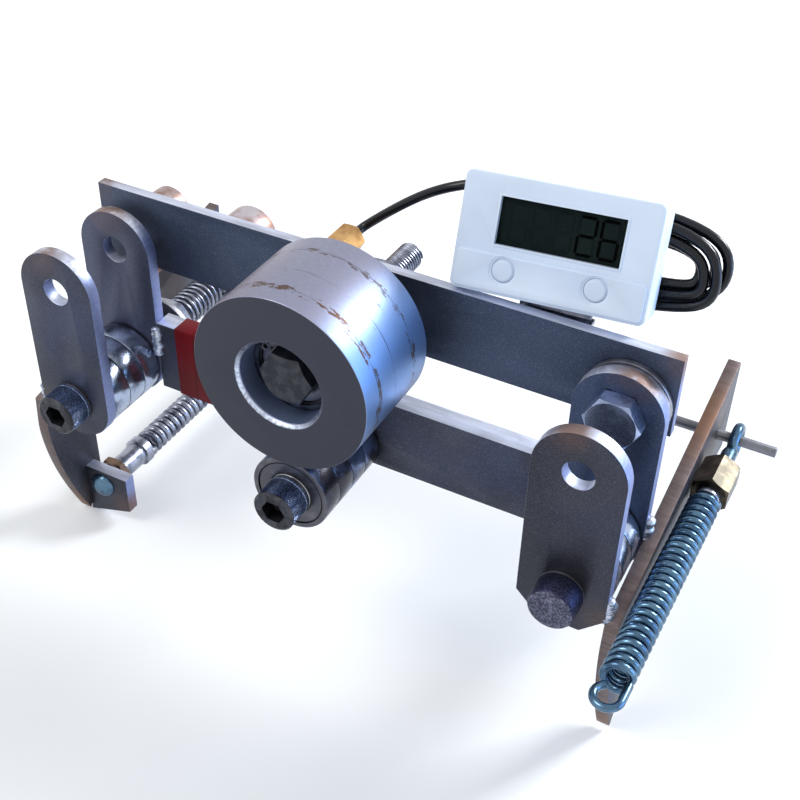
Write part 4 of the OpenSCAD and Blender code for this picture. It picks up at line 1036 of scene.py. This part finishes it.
def m10_shaft(name, x, z, y0, y1, y_thread, y_end, finish):
    """The plain part of a screw from y0 to y1, and its thread from y_thread on."""
    return (wear(disc(name + "_shank", x, z, y0, y1, M10_R), "rod"),
            wear(thread(name + "_thread", x, z, y_thread, y_end, M10_R, M10_PITCH), finish))


left_screw = join("left_screw", socket_head("left_head", LEFT_X, AXIS_Z, -44),
                  *m10_shaft("left", LEFT_X, AXIS_Z, -44.2, 20.4, 20, 56, "rod"))
hand_over(left_screw, None, "root", "dark_steel", "left_roller_screw")
middle_screw = join("middle_screw", socket_head("middle_head", MIDDLE_X, AXIS_Z, -48),
                    *m10_shaft("middle", MIDDLE_X, AXIS_Z, -48.2, 0, -1, 12, "rod"))
hand_over(middle_screw, None, "root", "dark_steel", "middle_roller_screw")
PIN_OUTLINE = [(-54, 0), (-54, 4.6), (-53.6, 4.9), (-53.55, 6.9), (-53.2, 7.55), (-52.4, 8), (-44.5, 8),
               (-44, 7.6), (-44, 0)]
PIN_FRONT = -53.3
pin_head = wear(turned("pin_head", RIGHT_X, AXIS_Z, PIN_OUTLINE, 96), "navy", "rough")
for face in pin_head.data.polygons:
    face.material_index = int(face.center.y < place(0, PIN_FRONT, 0).y)
right_pin = join("right_pin", pin_head, *m10_shaft("pin", RIGHT_X, AXIS_Z, -44.2, -3, -4, 6, "zinc"))
hand_over(right_pin, None, "root", "dark_steel", "right_roller_pin")
print("screws done:", len(done))

# %% [markdown]
# ## Nuts, bolts and washers
# The pivot bolt and the wheel's axle are hexagon bolts. Washers, shims and spacers come from CAD
# with eased edges.

# %% Nuts and hexagon bolts
NUT_AF, NUT_H, BOLT_HEAD_H, BORE = 17.0, 8.0, 6.4, 5.02
NUT_PLACES = ((LEFT_X, AXIS_Z, 12.4), (LEFT_X, AXIS_Z, 48.0), (MIDDLE_X, AXIS_Z, 0.0),
              (RIGHT_X, AXIS_Z, -3.0), (RIGHT_X, HOLE_Z, 6.2))


def m10_nut(name, x, z, y):
    return hexagon(name, x, z, y, y + NUT_H, NUT_AF, BORE)


nuts = join("frame_nut_set", *[m10_nut("nut", *spot) for spot in NUT_PLACES])
hand_over(nuts, "zinc", "root", "white_zinc", "frame_nuts")
hand_over(m10_nut("axle_nut_hexagon", WHEEL_X, WHEEL_Z, 6), "zinc", "upper_arm", "white_zinc",
          "axle_nut")
for name, x, z, y_under, y_thread, y_end, finish, body, node in (
        ("pivot_hexagon_bolt", RIGHT_X, HOLE_Z, -10, 2, 20, "head", "root", "pivot_bolt"),
        ("axle_hexagon_bolt", WHEEL_X, WHEEL_Z, -46, 3, 34, "axle_head", "upper_arm", "axle_bolt")):
    head = wear(hexagon(name + "_head", x, z, y_under - BOLT_HEAD_H, y_under, NUT_AF), finish)
    shaft = m10_shaft(name, x, z, y_under - 0.2, y_thread + 0.5, y_thread, y_end, "zinc")
    hand_over(join(name, head, *shaft), None, body, "dark_steel", node)
eased_nodes((("frame_washers", "root", "white_zinc", "washer", 0.25),
             ("large_washers", "root", "white_zinc", "washer", 0.3),
             ("roller_shims", "root", "white_zinc", "rod", 0.12),
             ("left_tail_sleeve", "root", "dark_steel", "rod", 0.4),
             ("axle_spacers", "upper_arm", "dark_steel", "rod", 0.2),
             ("cross_rod", "root", "dark_steel", "rod", 0.35),
             ("rear_spacers", "upper_arm", "dark_steel", "spacer", 0.6),
             ("red_band", "root", "red_tape", "red", 0.12)))
print("fasteners done:", len(done))

# %% [markdown]
# ## Springs
# A spring is a line that winds round its axis, with its wire as the line's round section. Two long
# ones pull the counter onto its machine and end in a hook. A short one sits on the left screw.

# %% Springs
CURL_STEPS = 28
LONG_R, LONG_WIRE, LONG_PITCH, LONG_CURLS, LONG_LEAD = 4.35, 2.75, 3.4, 26, 2.2
HOOK_TURN, HOOK_STEP = 240, 10
TAIL_R, TAIL_WIRE, TAIL_CURLS = 6.3, 1.4, 9
TAIL_FROM, TAIL_TO, TAIL_EASE = 20.4, 48.0, 0.4
TAB_X, TAB_Z, EYE_X, EYE_Z = 5.0, -96.0, 237.0, -41.0


def curl_line(radius, pitch, count, lead):
    return [Vector((radius * cos(2 * pi * k / CURL_STEPS),
                    radius * sin(2 * pi * k / CURL_STEPS), lead + pitch * k / CURL_STEPS))
            for k in range(int(count * CURL_STEPS) + 1)]


def spring(name, start, line, wire, backwards=False):
    """Winds wire along a line drawn upwards, laid front to back, or back to front."""
    lay = Matrix.Rotation(radians(90 if backwards else -90), 4, "X")
    return smooth(wire_mesh(name, [place(*start) + (lay @ p) * MM for p in line], wire * MM, 4), 60)


hook_base = 2 * LONG_LEAD + LONG_PITCH * LONG_CURLS + LONG_R
hook_line = [Vector((LONG_R * cos(radians(a)), 0, hook_base + LONG_R * sin(radians(a))))
             for a in range(0, HOOK_TURN + 1, HOOK_STEP)]
long_line = [Vector((LONG_R, 0, 0)), *curl_line(LONG_R, LONG_PITCH, LONG_CURLS, LONG_LEAD), *hook_line]
left_spring = spring("left_long_spring", (TAB_X, -1, TAB_Z), long_line, LONG_WIRE)
hand_over(left_spring, "zinc", "root", "white_zinc", "left_tension_spring")
right_spring = spring("right_long_spring", (EYE_X, 23.1, EYE_Z), long_line, LONG_WIRE, backwards=True)
hand_over(right_spring, "blue", "root", "blue_zinc", "right_tension_spring")
tail_pitch = (TAIL_TO - TAIL_FROM - 2 * TAIL_WIRE) / TAIL_CURLS
tail_line = [Vector((TAIL_R, 0, TAIL_EASE)), *curl_line(TAIL_R, tail_pitch, TAIL_CURLS, TAIL_WIRE),
             Vector((TAIL_R, 0, TAIL_TO - TAIL_FROM - TAIL_EASE))]
tail_spring = spring("tail_spring", (LEFT_X, TAIL_FROM, AXIS_Z), tail_line, TAIL_WIRE)
hand_over(tail_spring, "zinc", "root", "white_zinc", "left_tail_spring")
print("long spring faces:", len(left_spring.data.polygons))

# %% [markdown]
# ## Ends of the long springs
# The left spring grips a plug on the tab's bolt. A long nut holds the right one on an eye bolt,
# whose eye hangs on the cross rod.

# %% Tab bolt, flange nut, plug, eye bolt
DOME = [(-31.2, 0), (-31.1, 1.5), (-30.75, 3), (-30.1, 4.3), (-29.1, 5.2), (-28.25, 5.5), (-28, 5.4),
        (-28, 2.99), (-9.6, 2.99), (-9.6, 0)]
FLANGE = closed((-23, 3.1), (-23, 7.1), (-22.7, 7.2), (-22, 7), (-21.5, 6.4), (-21.5, 3.1))
PLUG = closed((-18, 3.1), (-18, 4.7), (-17.7, 5), (-5.3, 5), (-5, 6), (-4.8, 6.2), (-1.3, 6.2),
              (-1, 5.9), (-1, 0), (-9.5, 0), (-9.5, 3.1))
NECK = [(46, 0), (46, 2.9), (51.5, 2.9), (53, 2.6), (54.6, 2.1), (55, 0)]

dome = turned("dome_bolt", TAB_X, TAB_Z, DOME, 64)
hand_over(dome, "blue", "root", "blue_zinc", "tab_bolt")
flange_nut = join("flange_nut", turned("flange", TAB_X, TAB_Z, FLANGE, 64),
                  hexagon("tab_hexagon", TAB_X, TAB_Z, -21.6, -18, 13, 3.05))
hand_over(flange_nut, "brown", "root", "brown_steel", "tab_nut")
plug = turned("turned_plug", TAB_X, TAB_Z, PLUG, 64)
hand_over(plug, "zinc", "root", "white_zinc", "spring_plug")

eye = start_from(bpy.ops.mesh.primitive_torus_add, major_radius=5.5 * MM, minor_radius=2 * MM,
                 major_segments=64, minor_segments=24, location=place(EYE_X, 59.6, EYE_Z),
                 rotation=(0, pi / 2, 0))
eye_bolt = join("eye_bolt", eye, turned("neck", EYE_X, EYE_Z, NECK, 48),
                thread("eye_thread", EYE_X, EYE_Z, 27, 49, 2.99, 1.0))
hand_over(smooth(eye_bolt, 40), "blue", "root", "blue_zinc", "right_eye_bolt")
long_nut = hexagon("long_nut", EYE_X, EYE_Z, 26.1, 42.1, 13, 3.03, turn=30)
hand_over(long_nut, "olive", "root", "yellow_zinc", "right_spring_nut")
eased_nodes([("right_spring_sleeve", "root", "white_zinc", "zinc", 0.25)])
print("spring ends done:", len(done))

# %% [markdown]
# ## The measuring wheel
# The wheel comes from CAD, pocket for the magnet and all, and gets eased edges and its ground
# finish. A spring clip with two ears holds the bearing in.

# %% Wheel, clip and magnet
eased_nodes([("wheel", "measuring_wheel", "wheel_steel", "wheel", 0.3, 3)])
CLIP_OUTER, CLIP_INNER, CLIP_Y0, CLIP_Y1 = 15.75, 13.3, -46.58, -45.42
EAR_R, EAR_HOLE_R, EAR_OUT, EAR_TURN, EAR_APART = 2.1, 0.85, 11.9, 142, 18.4
GAP_OUT, GAP_BLOCK = 14.5, Vector((8, 6, 2.6))


def clip_gap():
    """A block that opens the clip between its ears."""
    centre = place(WHEEL_X, CLIP_Y0, WHEEL_Z)
    block = start_from(bpy.ops.mesh.primitive_cube_add, scale=GAP_BLOCK * MM, size=1, location=centre)
    turn = radians(EAR_TURN)
    spot = Vector((GAP_OUT * cos(turn), 0, GAP_OUT * sin(turn)))
    block.data.transform(Matrix.Translation(centre + spot * MM) @ Matrix.Rotation(-turn, 4, "Y")
                         @ Matrix.Translation(-centre))
    return block


outline = closed((CLIP_Y0, CLIP_INNER), (CLIP_Y0, CLIP_OUTER), (CLIP_Y1, CLIP_OUTER),
                 (CLIP_Y1, CLIP_INNER))
clip = cut(turned("clip", WHEEL_X, WHEEL_Z, outline, 96), clip_gap())
ears = []
for side in (-1, 1):
    away = radians(EAR_TURN + side * EAR_APART / 2)
    spot = (WHEEL_X + EAR_OUT * cos(away), WHEEL_Z + EAR_OUT * sin(away))
    ears.append(cut(disc("ear", *spot, CLIP_Y0, CLIP_Y1, EAR_R, 32),
                    disc("hole", *spot, CLIP_Y0 - 1, CLIP_Y1 + 1, EAR_HOLE_R, 32)))
hand_over(ease(join("bore_clip", clip, *ears), 0.12), "black", "measuring_wheel", "dark_steel",
          "wheel_clip")
eased_nodes([("wheel_magnet", "measuring_wheel", "white_zinc", "zinc", 0.3)])
print("wheel done:", len(done))

# %% [markdown]
# ## The sensor
# A threaded brass barrel looks at the wheel's magnet. Two brass nuts clamp it in the bar, and its
# hexagonal rear end holds the cable in a rubber grommet.

# %% Sensor
NOSE = [(-13.5, 0), (-13.5, 3.2), (-13.2, 3.45), (-12, 3.45), (-12, 0)]
REAR_RIM = closed((21.5, 2.0), (21.5, 4.3), (22.2, 4.2), (22.5, 3.8), (22.5, 2.0))
GROMMET = closed((21.2, 1.75), (21.2, 2.6), (23.6, 2.5), (24.6, 2.15), (24.6, 1.75))
barrel = thread("sensor_thread", SENSOR_X, SENSOR_Z, -13.2, 9, 3.98, 0.9, 0.4)
nose = turned("sensor_nose", SENSOR_X, SENSOR_Z, NOSE, 48)
tail = hexagon("sensor_hexagon", SENSOR_X, SENSOR_Z, 8, 21.6, 10)
rim = turned("sensor_rim", SENSOR_X, SENSOR_Z, REAR_RIM, 48)
sensor = smooth(join("sensor_brass_body", barrel, nose, tail, rim), 30)
hand_over(sensor, "brass", "upper_arm", "sensor_brass", "sensor_body")
sensor_nuts = [hexagon("nut", SENSOR_X, SENSOR_Z, y, y + 4, 12, 4.03) for y in (-4, 4)]
hand_over(join("sensor_nut_pair", *sensor_nuts), "brass", "upper_arm", "sensor_brass", "sensor_nuts")
hand_over(turned("sensor_grommet", SENSOR_X, SENSOR_Z, GROMMET, 32), "rubber", "upper_arm",
          "cable_jacket")
print("sensor faces:", len(sensor.data.polygons))

# %% [markdown]
# ## The display's case
# CAD gives the case's halves with their walls, window and button holes. The same block with
# rounded corners is intersected with both. The raised band below the window and the round dishes
# of the buttons are added here.

# %% Case
CASE_W, CASE_D, CASE_H = 65.0, 17.0, 38.5
BUTTONS = ((17.4, 8.3), (48.0, 8.3))
DISH = [(-1.6, 0), (-1.6, 5.0), (-0.76, 4.9), (-0.62, 4.7), (-0.2, 4.4), (-0.08, 4.1), (-0.08, 3.9),
        (2, 3.9), (2, 0)]
GLAND = closed((16.4, 1.8), (16.4, 3.5), (18.6, 3.5), (19, 3.1), (19, 1.8))


def display_block(name, u0, u1, d0, d1, v0, v1):
    """A block in the display's frame, before it is put in place."""
    block = start_from(bpy.ops.mesh.primitive_cube_add, scale=Vector((u1 - u0, d1 - d0, v1 - v0)) * MM,
                       size=1, location=Vector(((u0 + u1) / 2, (d0 + d1) / 2, (v0 + v1) / 2)) * MM)
    block.name = name
    return block


def bevel_where(piece, wanted, offset, segments):
    edit(piece)
    pick(piece, wanted, "edges")
    bpy.ops.mesh.bevel(offset=offset * MM, segments=segments, profile=0.5, affect="EDGES")
    bpy.ops.object.mode_set(mode="OBJECT")
    return piece


def runs_deep(edge):
    way = edge.verts[1].co - edge.verts[0].co
    return abs(way.y) > 0.9 * way.length


def at_depth(depth):
    return lambda edge: all(abs(v.co.y - depth * MM) < MERGE for v in edge.verts)


def soft_block(name, sides, corner, rim):
    """A block with round corners and a rounded front rim, each given as radius and steps."""
    block = bevel_where(display_block(name, *sides), runs_deep, *corner)
    return bevel_where(block, at_depth(sides[2]), *rim)


def rounded_half(node, name):
    """Half of the case, within a block that is rounded at the front and the back."""
    block = soft_block("rounding", (0, CASE_W, 0, CASE_D, 0, CASE_H), (2.4, 6), (0.7, 3))
    to_display(bevel_where(block, at_depth(CASE_D), 0.9, 3))
    return cut(copy_of(node, name), block, "INTERSECT")


front_shell = rounded_half("display_front", "front_shell")
band = to_display(soft_block("band", (1.1, CASE_W - 1.1, -0.75, 0.6, 0.9, 13.3), (1.6, 5), (0.55, 3)))
cut(band, join("dishes", *[turned("dish", u, v, DISH, 64, display=True) for u, v in BUTTONS]))
window_frame = to_display(soft_block("window_frame", (12.2, 54.8, -0.35, 0.5, 15.5, 32.6), (0.8, 4),
                                     (0.3, 2)))
cut(window_frame, to_display(display_block("opening", 13, 54, -3, 3, 16.3, 31.8)))
ease(front_shell, 0.18)
front = join("display_front_shell", front_shell, smooth(band, 40), smooth(window_frame, 40))
hand_over(front, "case", "upper_arm", "white_case", "display_front")
back_shell = rounded_half("display_back", "back_shell")
back = join("display_back_shell", ease(back_shell, 0.22), turned("gland", 6, 5, GLAND, 48, display=True))
hand_over(back, "case", "upper_arm", "white_case", "display_back")
print("case faces:", len(front.data.polygons), "and", len(back.data.polygons))

# %% [markdown]
# ## Buttons, window and digits
# The buttons are low discs with rounded rims. Each digit has seven bars. One bar with pointed ends
# is made lying and one standing, and copies of them show 26. All other bars are faint ghosts, as
# on a real panel.

# %% Buttons
CAP = [(-0.8, 0), (-0.8, 2.7), (-0.72, 3.1), (-0.5, 3.35), (-0.1, 3.45), (0.1, 3.75), (1.8, 3.75),
       (1.8, 4.65), (2.6, 4.65), (2.6, 0)]
for (u, v), name in zip(BUTTONS, ("pause", "reset")):
    cap = turned(name + "_cap", u, v, CAP, 64, display=True)
    hand_over(cap, "button", name + "_key", "white_button", name + "_button")
print("buttons done:", len(done))

# %% Window and digits
eased_nodes((("lcd_panel", "upper_arm", "lcd_glass", "panel", 0.1),
             ("lcd_window", "upper_arm", "clear_window", "lens", 0.1)))
PANEL_DEPTH, BAR_T, BAR_WIDE, BAR_GAP, LIT_LIFT = 1.7, 0.05, 1.0, 0.35, 0.005
DIGIT_W, DIGIT_H, DIGIT_STEP = 5.5, 12.0, 7.4
LAST_DIGIT_U, DIGIT_V = 46.3, 18.0
# Each bar: its middle's share of the digit's width and height, and whether it stands
SEGMENTS = {"top": (0.5, 1, False), "high_right": (1, 0.75, True), "low_right": (1, 0.25, True),
            "bottom": (0.5, 0, False), "low_left": (0, 0.25, True), "high_left": (0, 0.75, True),
            "middle": (0.5, 0.5, False)}
TWO = ("top", "high_right", "middle", "low_left", "bottom")
SIX = ("top", "high_left", "middle", "low_left", "low_right", "bottom")
SHOWN_FROM_RIGHT = (SIX, TWO, (), (), ())


def bar_shape(upright):
    half = ((DIGIT_H / 2 if upright else DIGIT_W) - BAR_GAP) / 2
    half_w, half_h = (BAR_WIDE / 2, half) if upright else (half, BAR_WIDE / 2)
    bar = display_block("bar", -half_w, half_w, 0, BAR_T, -half_h, half_h)
    return bevel_where(bar, runs_deep, BAR_WIDE * 0.46, 1)


def digit_bars(index, names, lift):
    made = []
    for name in names:
        share_u, share_v, upright = SEGMENTS[name]
        made.append(copy_to(bars[upright], "segment",
                            LAST_DIGIT_U - index * DIGIT_STEP + share_u * DIGIT_W,
                            PANEL_DEPTH - BAR_T - lift, DIGIT_V + share_v * DIGIT_H))
    return made


bars = {upright: bar_shape(upright) for upright in (False, True)}
lit, ghosts = [], []
for index, shown in enumerate(SHOWN_FROM_RIGHT):
    lit += digit_bars(index, shown, LIT_LIFT)
for index, shown in enumerate(SHOWN_FROM_RIGHT):
    ghosts += digit_bars(index, [name for name in SEGMENTS if name not in shown], 0.0)
hand_over(to_display(join("digits_lit", *lit)), "digit", "upper_arm", "lcd_glass")
hand_over(to_display(join("digits_ghost", *ghosts)), "ghost", "upper_arm", "lcd_glass")
for spare in bars.values():
    bpy.data.objects.remove(spare)
print("bars lit:", len(lit), "ghost bars:", len(ghosts))

# %% [markdown]
# ## Inside and behind the display
# Board, cell, bracket, screws and pad only need eased edges. The tie that holds the coil has a
# small head, through which its strap is pulled.

# %% Bracket, board, cell and tie
eased_nodes((("circuit_board", "upper_arm", "board_green", "board", 0.12),
             ("button_cell", "upper_arm", "white_zinc", "zinc", 0.5),
             ("display_bracket", "upper_arm", "white_zinc", "zinc", 0.3),
             ("bracket_screws", "upper_arm", "white_zinc", "zinc", 0.3),
             ("display_pad", "upper_arm", "white_case", "pad", 0.2)))
strap = ease(copy_of("cable_tie", "strap"), 0.45, 3)
head = display_block("tie_head", 39.4, 43.6, 29.4, 32.6, 27.5, 32.0)
apply_modifier(head, "BEVEL", width=0.5 * MM, segments=3)
tie = smooth(join("tie_strap", strap, to_display(head)))
hand_over(tie, "tie", "upper_arm", "tie_nylon", "cable_tie")
print("pieces:", len(done))

# %% [markdown]
# ## Last step
# The view layer is brought up to date, and the finished pieces are counted.

# %% Finish
bpy.context.view_layer.update()
print("pieces finished:", len(done))
